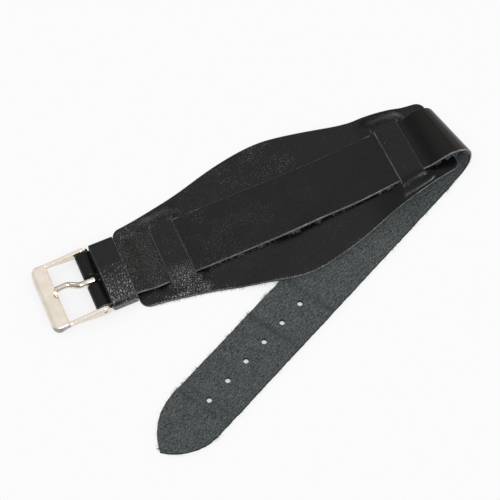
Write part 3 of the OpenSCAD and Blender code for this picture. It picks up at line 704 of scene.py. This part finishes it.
def tailLine(s, v):
    place = tailFrom[None, :] + s * tailE[None, :] + (v * tailHalf(s))[:, None] * tailM[None, :]
    return place[:, 0], place[:, 1], strap["thick"] / 2 + 0 * v


def fanLine(t, v):
    return [mix(p, q, t) for p, q in zip(rollLine(math.pi, v), tailLine(strap["fan"], v))]


strapLines = {
    "turned": turnedLine, "loop": loopLine, "flat": flatLine, "rise": riseLine, "roll": rollLine,
    "fan": fanLine, "tail": tailLine,
    "neckLow": lambda t, v: neckLine(t, v, -1), "neckHigh": lambda t, v: neckLine(t, v, 1),
}


def strapSections(step):
    def spread(lo, hi, by=step):
        return np.linspace(lo, hi, max(2, int(abs(hi - lo) / by) + 1))

    end = [0, 0.05, 0.15, 0.35]
    turnEnd = keeperEnd - 0.8
    neckX = bar["x"] + strap["neck"]
    fold = math.radians(strap["foldIn"])
    tailEnd = strap["tail"] - strap["tip"]
    sections = [("turned", [turnEnd - e for e in end]), ("turned", spread(turnEnd - 0.8, neckX)),
                ("neckLow", spread(1, 0, 0.15)[1:-1]), ("loop", np.linspace(-math.pi / 2, math.pi / 2, 25)),
                ("neckHigh", spread(0, 1, 0.15)[1:-1]),
                ("flat", spread(neckX, pad["slitOut"] + strap["riseFrom"])),
                ("rise", spread(0, 1, 0.08)[1:-1]), ("roll", np.linspace(-fold, math.pi, 52)),
                ("fan", spread(0, 1, 0.1)[1:-1]), ("tail", spread(strap["fan"], tailEnd)[:-1]),
                ("tail", [tailEnd + strap["tip"] * math.sin(a) for a in np.radians(np.linspace(0, 90, 40))])]
    return [(kind, at) for kind, places in sections for at in places]


def joinRings(bm, rings):
    # a closed skin over rings of points in millimetres
    loops = [[bm.verts.new([c * mm for c in point]) for point in ring] for ring in rings]
    bm.faces.new(loops[0][::-1])
    bm.faces.new(loops[-1])
    for first, second in zip(loops, loops[1:]):
        for k in range(len(first)):
            bm.faces.new((first[k - 1], first[k], second[k], second[k - 1]))


def finishedMesh(name, bm, rounded):
    # the mesh of a bmesh, its faces turned outwards
    bmesh.ops.recalc_face_normals(bm, faces=bm.faces)
    mesh = bpy.data.meshes.new(name)
    bm.to_mesh(mesh)
    bm.free()
    mesh.polygons.foreach_set("use_smooth", [rounded] * len(mesh.polygons))
    return mesh


def cutterMesh(holes, slotEnd):
    # round cutters for the adjusting holes and one with a round end for the tongue's slot
    turn = np.linspace(0, 2 * math.pi, 41)[:-1]
    outlines = [[(x + r * math.cos(a), y + r * math.sin(a)) for a in turn] for x, y, r in holes]
    r = strap["slot"] / 2
    outlines.append([(bar["x"] - 4, r), (bar["x"] - 4, -r)]
                    + [(bar["x"] + slotEnd + r * math.cos(a), r * math.sin(a))
                       for a in np.linspace(-math.pi / 2, math.pi / 2, 21)])
    bm = bmesh.new()
    for outline in outlines:
        joinRings(bm, [[(x, y, z) for x, y in outline] for z in (-5, 9)])
    return finishedMesh("cutter", bm, False)


def worked(piece, mesh, material, operation="DIFFERENCE"):
    # a boolean with a mesh that leaves its own material behind
    mesh.materials.append(material)
    tool = inScene("tool", mesh)
    cut = piece.modifiers.new("cut", "BOOLEAN")
    cut.object = tool
    cut.operation = operation
    cut.solver = "EXACT"
    cut.material_mode = "TRANSFER"
    applied(piece)
    bpy.data.objects.remove(tool)
    bpy.data.meshes.remove(mesh)


def makeStrap():
    look = {"step": 0.55, "rimRows": (0.0, 0.05, 0.12, 0.22, 0.38, 0.6), "round": 0.3, "rows": 14,
            "waves": 0.06, "uneven": 0.12, "slotEdge": 0.45}
    # places of the far edge with pale specks, partly rubbed and partly painted highlights, each with its
    # spread and its strength, and faint bends of the tail, darkened with painted shade, each with its
    # distance from the tip and its spread
    rubbedAndGlinting = ((-31.6, 1.6, 1.0), (-26.5, 2.0, 0.75), (-24, 1.0, 0.6), (-6.5, 2.5, 0.5), (2.5, 2.2, 0.55),
              (14, 3.0, 0.5), (30.6, 1.4, 0.9))
    bends = ((17.6, 0.7), (20.5, 0.5), (48.0, 0.8), (63.0, 0.6))
    rows = strapSections(look["step"])
    inner = np.linspace(0, strap["half"] - look["rimRows"][-1] - 0.5, look["rows"])
    half = list(inner) + [strap["half"] - f for f in reversed(look["rimRows"])]
    v = np.array([-y for y in reversed(half)] + half[1:]) / strap["half"]
    everyRow = np.ones((1, len(v)))
    middle = np.array([np.stack([p + 0 * v for p in strapLines[kind](at, v)], axis=1) for kind, at in rows])
    spans = np.linalg.norm(np.diff(middle[:, len(v) // 2], axis=0), axis=1)
    along = np.concatenate([[0], np.cumsum(spans)])[:, None] * everyRow
    total = along[-1, 0]
    halfWidth = np.array([tailHalf(at) if kind == "tail" else strap["half"] for kind, at in rows])[:, None]
    wide = v[None, :] * halfWidth
    gap = np.minimum((1 - abs(v))[None, :] * halfWidth, np.minimum(along, total - along))
    gap = np.maximum(0, gap)
    flat, tail, turn = [np.array([kind in kinds for kind, at in rows])[:, None] * everyRow
                        for kinds in (("flat",), ("tail", "fan"), ("rise", "roll"))]
    normal = gridNormals(middle)
    x = middle[:, :, 0]
    overMiddle = flat * (abs(x) < pad["slitIn"])

    # soft waves in the free stretch, and the hand-cut tail's uneven edges
    wave = look["waves"] * np.maximum(0, roughly(along, wide, 0.12, 7.7)) * overMiddle
    middle = middle + normal * wave[:, :, None]
    uneven = look["uneven"] * roughly(along, 6 * np.sign(wide), 0.6, 1.3, 4) * abs(v[None, :]) ** 4 * tail
    middle[:, :, :2] += uneven[:, :, None] * tailM

    # the grain opens and shines on the tab that leads to the buckle, with painted glints; the far edge has
    # pale specks in places, partly rubbed finish and partly painted highlights
    coarse = 0.03 + flat * (0.22 + 0.3 * smooth((-x - 36) / 6) + 0.2 * smooth((12 - x) / 30))
    gloss = flat * (0.06 + 0.26 * smooth((-x - 32) / 6)) - 0.6 * (flat + turn) * hill((x - 44.2) / 2.4)
    wear = 0.42 * overMiddle * smooth((v[None, :] - 0.965) / 0.02)
    for place, spread, amount in rubbedAndGlinting:
        wear += flat * amount * hill((x - place) / spread) * smooth((v[None, :] - 0.945) / 0.03)
    # faint bends of the tail, painted darker as shade in the creases
    bend = sum(tail * hill((total - along - place + 0.12 * wide) / spread) for place, spread in bends)
    edge = rolledOff(gap, look["round"])
    top = middle + normal * (strap["thick"] / 2 - edge)[:, :, None]
    low = middle - normal * (strap["thick"] / 2 - 0.7 * edge)[:, :, None]
    # fibres stand in clumps along the tail's far edge, and along the near edge elsewhere
    clumps = 0.12 + 2.6 * smooth(roughly(along, 4 * np.sign(wide), 0.5, 5.5) * 3 - 0.7)
    fuzz = tail * np.where(wide > 0, 1.0, 0.2) + (wide < 0) * (overMiddle + 0.6 * turn)
    fuzz = (gap < 0.03) * clumps * fuzz
    made = sheetObject("strap_leather", top, low, np.stack([along, wide], axis=2), gap,
                       [strapGrain, suede, strapEdge],
                       {"coarse": coarse, "wear": wear, "bend": bend, "gloss": gloss,
                        "fuzz": (0 * fuzz, fuzz)})
    places = [tailFrom + (strap["tail"] - strap["firstHole"] - k * strap["pitch"]) * tailE
              for k in range(strap["holes"])]
    slotEnd = bar["d"] / 2 + 0.05 + 1 + look["slotEdge"] - strap["slot"] / 2
    worked(made, cutterMesh([(p[0], p[1], strap["hole"] / 2) for p in places], slotEnd), shadedHoleWall)
    return made


def makeKeeper():
    look = {"thick": 1.0, "round": 0.3, "corner": 1.35, "step": 0.2, "crown": 1.1, "wrinkle": 0.16,
            "wrinkleSize": 1.05, "rimRows": (0.0, 0.05, 0.12, 0.22, 0.4)}
    x0, x1 = keeperLow[0], keeperHigh[0]
    w = keeperHigh[1] - look["thick"] / 2
    z0, z1 = keeperLow[2] + look["thick"] / 2, keeperHigh[2] - look["thick"] / 2
    r = look["corner"] - look["thick"] / 2
    path = [(0.1, z0)]
    for cy, cz, start in ((w - r, z0 + r, -90), (w - r, z1 - r, 0), (r - w, z1 - r, 90),
                          (r - w, z0 + r, 180)):
        for a in np.radians(np.linspace(start, start + 90, 9)):
            path.append((cy + r * math.cos(a), cz + r * math.sin(a)))
    path = np.array(path + [(-0.1, z0)])
    run = np.concatenate([[0], np.cumsum(np.linalg.norm(np.diff(path, axis=0), axis=1))])
    stations = np.concatenate([[0, 0.05, 0.15], np.arange(0.4, run[-1] - 0.3, look["step"]),
                               [run[-1] - 0.15, run[-1] - 0.05, run[-1]]])
    xs = np.array([x0 + f for f in look["rimRows"]] + list(np.linspace(x0 + 0.6, x1 - 0.6, 26))
                  + [x1 - f for f in reversed(look["rimRows"])])
    along = stations[:, None] + 0 * xs
    x = xs + 0 * along
    y = np.interp(along, run, path[:, 0])
    z = np.interp(along, run, path[:, 1])
    onTop = smooth((z - (z0 + z1) / 2) / 1.2)
    # the band arches over the strap, more in the middle of its length, and its near part is crumpled
    z = z + look["crown"] * onTop * (1 - np.minimum(1, abs(y / w)) ** 2.2)
    middle = np.stack([x, y, z], axis=2)
    gap = np.maximum(0, np.minimum(np.minimum(x - x0, x1 - x), np.minimum(along, run[-1] - along)))
    normal = gridNormals(middle)
    towardsNear = smooth((6.5 - y) / 9) * onTop
    folds = 0.8 * (pebbled(along, x + 0.25 * along, look["wrinkleSize"], 5.0) - 0.35)
    folds = folds + 0.5 * roughly(along, x * 0.5, 1.1, 9.0, 2)
    edge = rolledOff(gap, look["round"])
    raised = look["thick"] / 2 - edge + look["wrinkle"] * towardsNear * folds * smooth(gap / 0.6)
    outer = middle + normal * raised[:, :, None]
    inside = middle - normal * (look["thick"] / 2 - 0.6 * edge)[:, :, None]
    coarse = 0.15 + 0.85 * towardsNear
    # the near part shines, with painted glints on its pebble tops
    return sheetObject("keeper_leather", outer, inside, np.stack([along, x], axis=2), gap,
                       [keeperGrain, padSuede, padEdge],
                       {"coarse": coarse, "wear": 0 * coarse, "bend": 0 * coarse,
                        "gloss": 0.8 * smooth((3 - y) / 11)})


# Loose fibres along the cut edges, scattered by a node tree
def fibreTree():
    tree = bpy.data.node_groups.new("edge fibres", "GeometryNodeTree")
    for name, kind in (("Geometry", "Geometry"), ("Density", "Float"), ("Length", "Float"),
                       ("Thickness", "Float"), ("Seed", "Int"), ("Material", "Material")):
        tree.interface.new_socket(name=name, in_out="INPUT", socket_type="NodeSocket" + kind)
    tree.interface.new_socket(name="Geometry", in_out="OUTPUT", socket_type="NodeSocketGeometry")
    start = addNode(tree, "NodeGroupInput").outputs
    fuzz = addNode(tree, "GeometryNodeInputNamedAttribute", {"data_type": "FLOAT", "Name": "fuzz"})
    amount = addNode(tree, "ShaderNodeMath", {"operation": "MULTIPLY"}, {0: fuzz, 1: start["Density"]})
    spread = addNode(tree, "GeometryNodeDistributePointsOnFaces", {},
                     {"Mesh": start["Geometry"], "Density": amount, "Seed": start["Seed"]})
    # one fibre is a thin, bent, tapering spine one unit long
    spine = addNode(tree, "GeometryNodeCurvePrimitiveBezierSegment",
                    {"Resolution": 3, "Start": (0, 0, -0.15), "Start Handle": (0.0, 0.05, 0.3),
                     "End Handle": (0.25, 0.1, 0.6), "End": (0.55, -0.1, 0.85)})
    size = addNode(tree, "ShaderNodeCombineXYZ", {}, {key: start["Length"] for key in (0, 1, 2)})
    sized = addNode(tree, "GeometryNodeTransform", {}, {"Geometry": spine, "Scale": size})
    taper = addNode(tree, "ShaderNodeMapRange", {"To Min": 1.0, "To Max": 0.25},
                    {"Value": addNode(tree, "GeometryNodeSplineParameter")})
    section = addNode(tree, "GeometryNodeCurvePrimitiveCircle", {"Resolution": 3},
                      {"Radius": start["Thickness"]})
    tube = addNode(tree, "GeometryNodeCurveToMesh", {"Fill Caps": True},
                   {"Curve": sized, "Profile Curve": section, "Scale": taper})
    # each is planted in the edge, leaning and turned by chance
    spin = addNode(tree, "FunctionNodeRandomValue",
                   {"data_type": "FLOAT_VECTOR", 0: (-0.6, -0.6, 0.0), 1: (0.6, 0.6, 6.28)},
                   {"Seed": start["Seed"]})
    turned = addNode(tree, "FunctionNodeRotateRotation", {"rotation_space": "LOCAL"},
                     {"Rotation": spread.outputs["Rotation"], "Rotate By": spin})
    scale = addNode(tree, "FunctionNodeRandomValue", {"data_type": "FLOAT", 2: 0.35, 3: 1.2},
                    {"Seed": start["Seed"]})
    planted = addNode(tree, "GeometryNodeInstanceOnPoints", {},
                      {"Points": spread, "Instance": tube, "Rotation": turned, "Scale": scale})
    real = addNode(tree, "GeometryNodeRealizeInstances", {}, {"Geometry": planted})
    coloured = addNode(tree, "GeometryNodeSetMaterial", {},
                       {"Geometry": real, "Material": start["Material"]})
    addNode(tree, "NodeGroupOutput", {}, {"Geometry": coloured})
    return tree


def makeFibres(name, source, body, values):
    made = inScene(name, source.data.copy())
    modifier = made.modifiers.new("fibres", "NODES")
    modifier.node_group = edgeFibres
    for item in edgeFibres.interface.items_tree:
        if item.in_out == "INPUT" and item.name in values:
            modifier[item.identifier] = values[item.name]
    applied(made)
    # one that would reach below the table is turned up
    for vertex in made.data.vertices:
        vertex.co.z = max(vertex.co.z, -0.1 * vertex.co.z)
    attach(made, body)
    print(name, "done,", len(made.data.polygons), "faces")


# Fibres to a square metre, and their size: real ones are thinner, too thin to show in the render
strapFibres = {"Density": 2e7, "Length": 0.85 * mm, "Thickness": 0.045 * mm, "Seed": 4,
               "Material": paleFibre}
padFibres = {"Density": 2e7, "Length": 0.75 * mm, "Thickness": 0.05 * mm, "Seed": 9,
             "Material": darkFibre}
padPiece = makePad()
strapPiece = makeStrap()
keeperPiece = makeKeeper()
edgeFibres = fibreTree()
makeFibres("strap_fibres", strapPiece, "strap_body", strapFibres)
makeFibres("pad_fibres", padPiece, "strap_body", padFibres)
seat(padPiece, "strap_body", "cuff_pad")
seat(strapPiece, "strap_body", "strap")
seat(keeperPiece, "keeper", "keeper_loop")


# Buckle frame: a plate with a rolled outer edge and a rounded inner one, and two arms that end in lugs
buckle = {
    "window": 10.9, "plate": 4.9, "plateDrop": 0.8, "thick": 1.1, "roll": 1.7, "corner": 2.6, "endRoll": 0.5,
    "innerRoll": 0.55, "arm": 1.1, "armIn": 9.2, "armHigh": 1.7, "armDrop": 0.3, "lug": 2.2, "ease": 0.22,
    "skirt": 0.12, "pinHole": 0.5, "cup": 1.7, "sharpFrom": 50,
}
buckle["top"] = bar["z"] + buckle["lug"] - buckle["plateDrop"]
buckle["armTop"] = buckle["top"] - buckle["armDrop"]
buckle["inner"] = bar["x"] - buckle["window"]
buckle["outer"] = buckle["inner"] - buckle["plate"]
buckle["half"] = buckle["armIn"] + buckle["arm"]


def platePiece():
    half, corner = buckle["half"], buckle["corner"]
    ends = [0.0, 0.03, 0.1, 0.2, 0.35, 0.55, 0.8, 1.1, 1.5, 2.0, 2.6]
    y = np.array([-half + e for e in ends] + list(np.linspace(-half + 3.4, half - 3.4, 22))
                 + [half - e for e in reversed(ends)])
    d = np.maximum(0, abs(y) - half + corner)
    left = buckle["outer"] + corner - np.sqrt(np.maximum(0, corner ** 2 - d * d))
    share = np.array([0, 0.01, 0.03, 0.06, 0.1, 0.15, 0.2, 0.26, 0.34, 0.45, 0.6, 0.74, 0.86, 0.9, 0.93,
                      0.96, 0.985, 1.0])
    x = mix(left[None, :], buckle["inner"], share[:, None])
    y = y[None, :] + 0 * x
    fromEnd = half - abs(y)
    drop = np.maximum(rolledOff(x - buckle["outer"], buckle["roll"]), rolledOff(fromEnd, buckle["endRoll"]))
    high = buckle["top"] - drop - rolledOff(buckle["inner"] - x, buckle["innerRoll"])
    fromOutline = np.minimum(x - left[None, :], fromEnd)
    # below its outline hangs a skirt, which runs up to the arms
    skirt = mix(buckle["skirt"], buckle["armTop"] - buckle["armHigh"],
                np.clip((x - buckle["outer"] - buckle["thick"]) / 2.8, 0, 1))
    low = np.where(fromOutline < buckle["thick"], skirt, buckle["top"] - buckle["thick"])
    low = np.minimum(low, high - 0.25)
    top, bottom = [np.stack([x, y, z], axis=2) for z in (high, low)]
    return sheetObject("buckle_frame_nickel", top, bottom, np.stack([x, y], axis=2), fromOutline + 1,
                       [plateMetal, polishedMetalPaintedDarker, polishedMetalPaintedDarker], {})


def armMesh(side):
    # an outline seen from the side, with its edges eased towards both faces
    lug, top, ease = buckle["lug"], buckle["armTop"], buckle["ease"]
    under, corner = top - buckle["armHigh"], buckle["inner"] + 1.5
    outline = [(bar["x"] + lug * math.cos(a), bar["z"] + lug * math.sin(a))
               for a in np.linspace(-math.pi / 2, math.pi / 2 + math.asin(0.16), 40)]
    outline += [(mix(bar["x"], buckle["inner"], t), mix(bar["z"] + lug, top, t)) for t in (0.3, 0.6, 0.9)]
    outline += [(buckle["inner"] - 1, top - 0.02), (buckle["inner"] - 1, under), (corner, under),
                (mix(bar["x"], corner, 0.5), mix(bar["z"] - lug, under, 0.5))]
    outline = np.array(outline)
    ahead = np.roll(outline, -1, axis=0) - outline
    ahead /= np.linalg.norm(ahead, axis=1, keepdims=True)
    turned = ahead + np.roll(ahead, 1, axis=0)
    turned /= np.linalg.norm(turned, axis=1, keepdims=True)
    inwards = np.stack([-turned[:, 1], turned[:, 0]], axis=1)
    insets = [(ease * (1 - math.sin(a)), ease * (1 - math.cos(a))) for a in np.radians([0, 22, 45, 68, 90])]
    stations = [(buckle["armIn"] + off, inset) for inset, off in insets]
    stations += [(buckle["half"] - off, inset) for inset, off in reversed(insets)]
    bm = bmesh.new()
    joinRings(bm, [[(x, side * y, z) for x, z in outline + inwards * inset] for y, inset in stations])
    return finishedMesh("arm", bm, True)


def makeFrame():
    made = platePiece()
    for side in (-1, 1):
        worked(made, armMesh(side), polishedMetalPaintedDarker, "UNION")
    # the hollow in the plate's inner edge where the tongue lies, and the holes for the bar's pins
    bm = bmesh.new()
    bmesh.ops.create_uvsphere(bm, u_segments=48, v_segments=24, radius=buckle["cup"] * mm)
    cupAt = Vector((buckle["inner"] - 0.2, -0.2, buckle["top"] + 1.3)) * mm
    bmesh.ops.translate(bm, verts=bm.verts, vec=cupAt)
    worked(made, finishedMesh("cup", bm, False), polishedMetalPaintedDarker)
    bm = bmesh.new()
    r = buckle["pinHole"] * mm
    bmesh.ops.create_cone(bm, cap_ends=True, segments=32, radius1=r, radius2=r, depth=30 * mm)
    bmesh.ops.rotate(bm, verts=bm.verts, matrix=Matrix.Rotation(math.pi / 2, 3, "X"))
    bmesh.ops.translate(bm, verts=bm.verts, vec=Vector((bar["x"], 0, bar["z"])) * mm)
    worked(made, finishedMesh("hole", bm, False), barMetal)
    made.data.set_sharp_from_angle(angle=math.radians(buckle["sharpFrom"]))
    # the upper face is the satin plate; the rest but the pins' holes is polished, and painted darker as
    # shade
    for face in made.data.polygons:
        if face.material_index < 2:
            face.material_index = 0 if face.normal.z > 0.7 else 1
    seat(made, "buckle", "buckle_frame")


def sweptRod(name, points, across, through, material, sides=28):
    # a rod along points, with its own half width across and through at each
    tangent = np.gradient(points, axis=0)
    tangent /= np.linalg.norm(tangent, axis=1, keepdims=True)
    rings = []
    for p, t, w, h in zip(points, tangent, across, through):
        side = np.cross([0, 1, 0], t)
        side /= np.linalg.norm(side)
        wide = np.cross(t, side)
        rings.append([p + wide * w * math.cos(a) + side * h * math.sin(a)
                      for a in np.linspace(0, 2 * math.pi, sides + 1)[:-1]])
    bm = bmesh.new()
    joinRings(bm, rings)
    mesh = finishedMesh(name, bm, True)
    mesh.materials.append(material)
    return inScene(name, mesh)


def throughPoints(points, steps):
    # a smooth line through points
    p = np.array([points[0]] + list(points) + [points[-1]], dtype=float)
    line = []
    for a, b, c, d in zip(p, p[1:], p[2:], p[3:]):
        for t in np.linspace(0, 1, steps, endpoint=False):
            line.append(b + 0.5 * ((c - a) * t + (2 * a - 5 * b + 4 * c - d) * t * t
                                   + (3 * b - a - 3 * c + d) * t ** 3))
    return np.array(line + [p[-1]])


def makeTongue():
    look = {"rod": 0.97, "tip": 0.9, "wall": 1.0, "eyeWidth": 1.8, "lean": 1.0, "hump": 0.4, "reach": 11.0,
            "free": 0.06}
    inner = bar["d"] / 2 + look["free"]
    eyeMid = inner + look["wall"] / 2
    top = bar["z"] + inner + look["wall"]
    tipZ = buckle["top"] + look["tip"] + look["free"]
    humpZ = buckle["top"] + look["rod"] + look["free"] + look["hump"]
    eye = [(bar["x"] + eyeMid * math.cos(a), 0, bar["z"] + eyeMid * math.sin(a))
           for a in np.radians(np.linspace(-205, 85, 40))]
    # shares of the reach and of the lean, and the height of the rod's middle
    bends = [(0.1, 0.0, top - 0.62), (0.22, 0.02, top - look["rod"]), (0.38, 0.1, top - look["rod"] + 0.05),
             (0.52, 0.42, mix(top - look["rod"], humpZ, 0.55)), (0.66, 0.8, humpZ),
             (0.77, 0.92, humpZ - 0.02), (0.88, 0.97, mix(humpZ, tipZ, 0.55)), (0.96, 1.0, tipZ)]
    rod = [(bar["x"] - s * look["reach"], look["lean"] * c, z) for s, c, z in bends]
    line = np.concatenate([np.array(eye[:-1]), throughPoints([eye[-1]] + rod, 9)])
    length = np.concatenate([[0], np.cumsum(np.linalg.norm(np.diff(line, axis=0), axis=1))])
    past = length - length[len(eye) - 1]
    t = smooth(past / 2.4)
    slim = mix(1, look["tip"] / look["rod"], smooth((past - 3) / (past[-1] - 3)))
    through = mix(look["wall"] / 2, look["rod"], t) * slim
    across = mix(look["eyeWidth"] / 2, look["rod"], t) * slim
    # a rounded tip
    ahead = (line[-1] - line[-2]) / np.linalg.norm(line[-1] - line[-2])
    shares = np.array([0.35, 0.62, 0.82, 0.94, 0.998])
    sizes = np.sqrt(1 - shares ** 2)
    line = np.concatenate([line, line[-1] + ahead * look["tip"] * shares[:, None]])
    through = np.concatenate([through, through[-1] * sizes])
    across = np.concatenate([across, across[-1] * sizes])
    made = sweptRod("buckle_tongue_nickel", line, across, through, polishedMetalPaintedDarker)
    seat(made, "tongue", "buckle_tongue")


makeFrame()
makeTongue()


# Carried-over CAD pieces and their materials
for nodeName, nodeMaterial in (("bar_tube", barMetal), ("bar_pin_near", barMetal), ("bar_pin_far", barMetal),
                               ("bar_spring", wireMetal), ("keeper_staple", wireMetal),
                               ("turned_end_thread", waxedThread)):
    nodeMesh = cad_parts[nodeName].data
    nodeMesh.materials.clear()
    nodeMesh.materials.append(nodeMaterial)
    nodeMesh.polygons.foreach_set("material_index", [0] * len(nodeMesh.polygons))
print("carried-over pieces done")


# Floor and light: a white table that glows evenly, with the object's close shadow painted into the glow by
# ambient occlusion
table = {
    "half": 3.0, "down": 0.02, "colour": "#e7e7e7", "shadowReach": 9,
    "shadow": ((0.0, "#212121"), (0.1, "#a2a2a2"), (0.26, "#e7e7e7"), (0.62, "#f6f6f6"), (0.93, "#fbfbfb")),
}


def tableTop(tree, look):
    # a matt white sheet; camera, glossy and glass rays see it as an even glow, with a painted shadow close
    # under the leather, darkened by ambient occlusion
    paths = addNode(tree, "ShaderNodeLightPath").outputs
    seen = paths["Is Camera Ray"]
    for path in ("Is Glossy Ray", "Is Transmission Ray"):
        seen = addNode(tree, "ShaderNodeMath", {"operation": "MAXIMUM"}, {0: seen, 1: paths[path]})
    lit = addNode(tree, "ShaderNodeBsdfDiffuse", {"Color": linear(look["colour"])})
    openness = addNode(tree, "ShaderNodeAmbientOcclusion",
                       {"samples": 12, "Distance": look["shadowReach"] * mm}).outputs["AO"]
    shade = addNode(tree, "ShaderNodeValToRGB", {"stops": look["shadow"]}, {"Fac": openness})
    glow = addNode(tree, "ShaderNodeEmission", {"Strength": 1.0}, {"Color": shade})
    return addNode(tree, "ShaderNodeMixShader", {}, {0: seen, 1: lit, 2: glow})


def makeFloor():
    s = table["half"]
    mesh = bpy.data.meshes.new("table")
    mesh.from_pydata([(-s, -s, 0), (s, -s, 0), (s, s, 0), (-s, s, 0)], [], [(0, 1, 2, 3)])
    mesh.materials.append(newMaterial("white table", tableTop, table))
    floor = inScene("table", mesh)
    floor.location.z = -table["down"] * mm


lamps = {
    "window": {"towards": (0.15, -0.36, 0.92), "distance": 0.95, "size": 0.36, "brightness": 16.0,
               "colour": "#fcfeff"},
    "warm lamp": {"towards": (0.83, 0.47, 0.34), "distance": 1.0, "size": 0.4, "brightness": 1.5,
                  "colour": "#fff0dd"},
}


def makeLamp(name, look):
    data = bpy.data.lights.new(name, "AREA")
    data.shape = "SQUARE"
    data.size = look["size"]
    data.energy = look["brightness"] * math.pi * look["size"] ** 2
    data.color = linear(look["colour"])[:3]
    made = inScene(name, data)
    made.location = Vector(look["towards"]).normalized() * look["distance"]
    made.rotation_euler = (-made.location).to_track_quat("-Z", "Y").to_euler()


# The room from the floor up, and how bright its walls get to the left and right
room = {
    "upwards": ((0.02, "#fbfbfb"), (0.05, "#3f3f3e"), (0.2, "#504f4e"), (0.4, "#adacab"), (0.58, "#efeeed")),
    "left": "#e6e5e3", "right": "#c8c3bc",
}


def makeWorld():
    # a bright warm ceiling over darker walls
    world = bpy.data.worlds.new("studio")
    bpy.context.scene.world = world
    world.use_nodes = True
    tree = world.node_tree
    tree.nodes.clear()
    direction = addNode(tree, "ShaderNodeTexCoord").outputs["Generated"]
    parts = addNode(tree, "ShaderNodeSeparateXYZ", {}, {0: direction}).outputs
    walls = addNode(tree, "ShaderNodeValToRGB", {"stops": room["upwards"]}, {"Fac": parts["Z"]})
    left, right, above = [
        addNode(tree, "ShaderNodeMapRange", between(*limits), {"Value": parts[axis]})
        for axis, limits in (("X", (-0.3, -0.75, 0, 0.85)), ("X", (0.3, 0.7)), ("Z", (0.05, 0.3)))]
    right = addNode(tree, "ShaderNodeMath", {"operation": "MULTIPLY"}, {0: right, 1: above})
    shade = tinted(tree, walls, ((left, room["left"]), (right, room["right"])))
    sky = addNode(tree, "ShaderNodeBackground", {"Strength": 1.0}, {"Color": shade})
    addNode(tree, "ShaderNodeOutputWorld", {}, {"Surface": sky})


makeFloor()
makeWorld()
for lampName, lampLook in lamps.items():
    makeLamp(lampName, lampLook)
bpy.context.scene.view_settings.view_transform = "Standard"
print("light done")
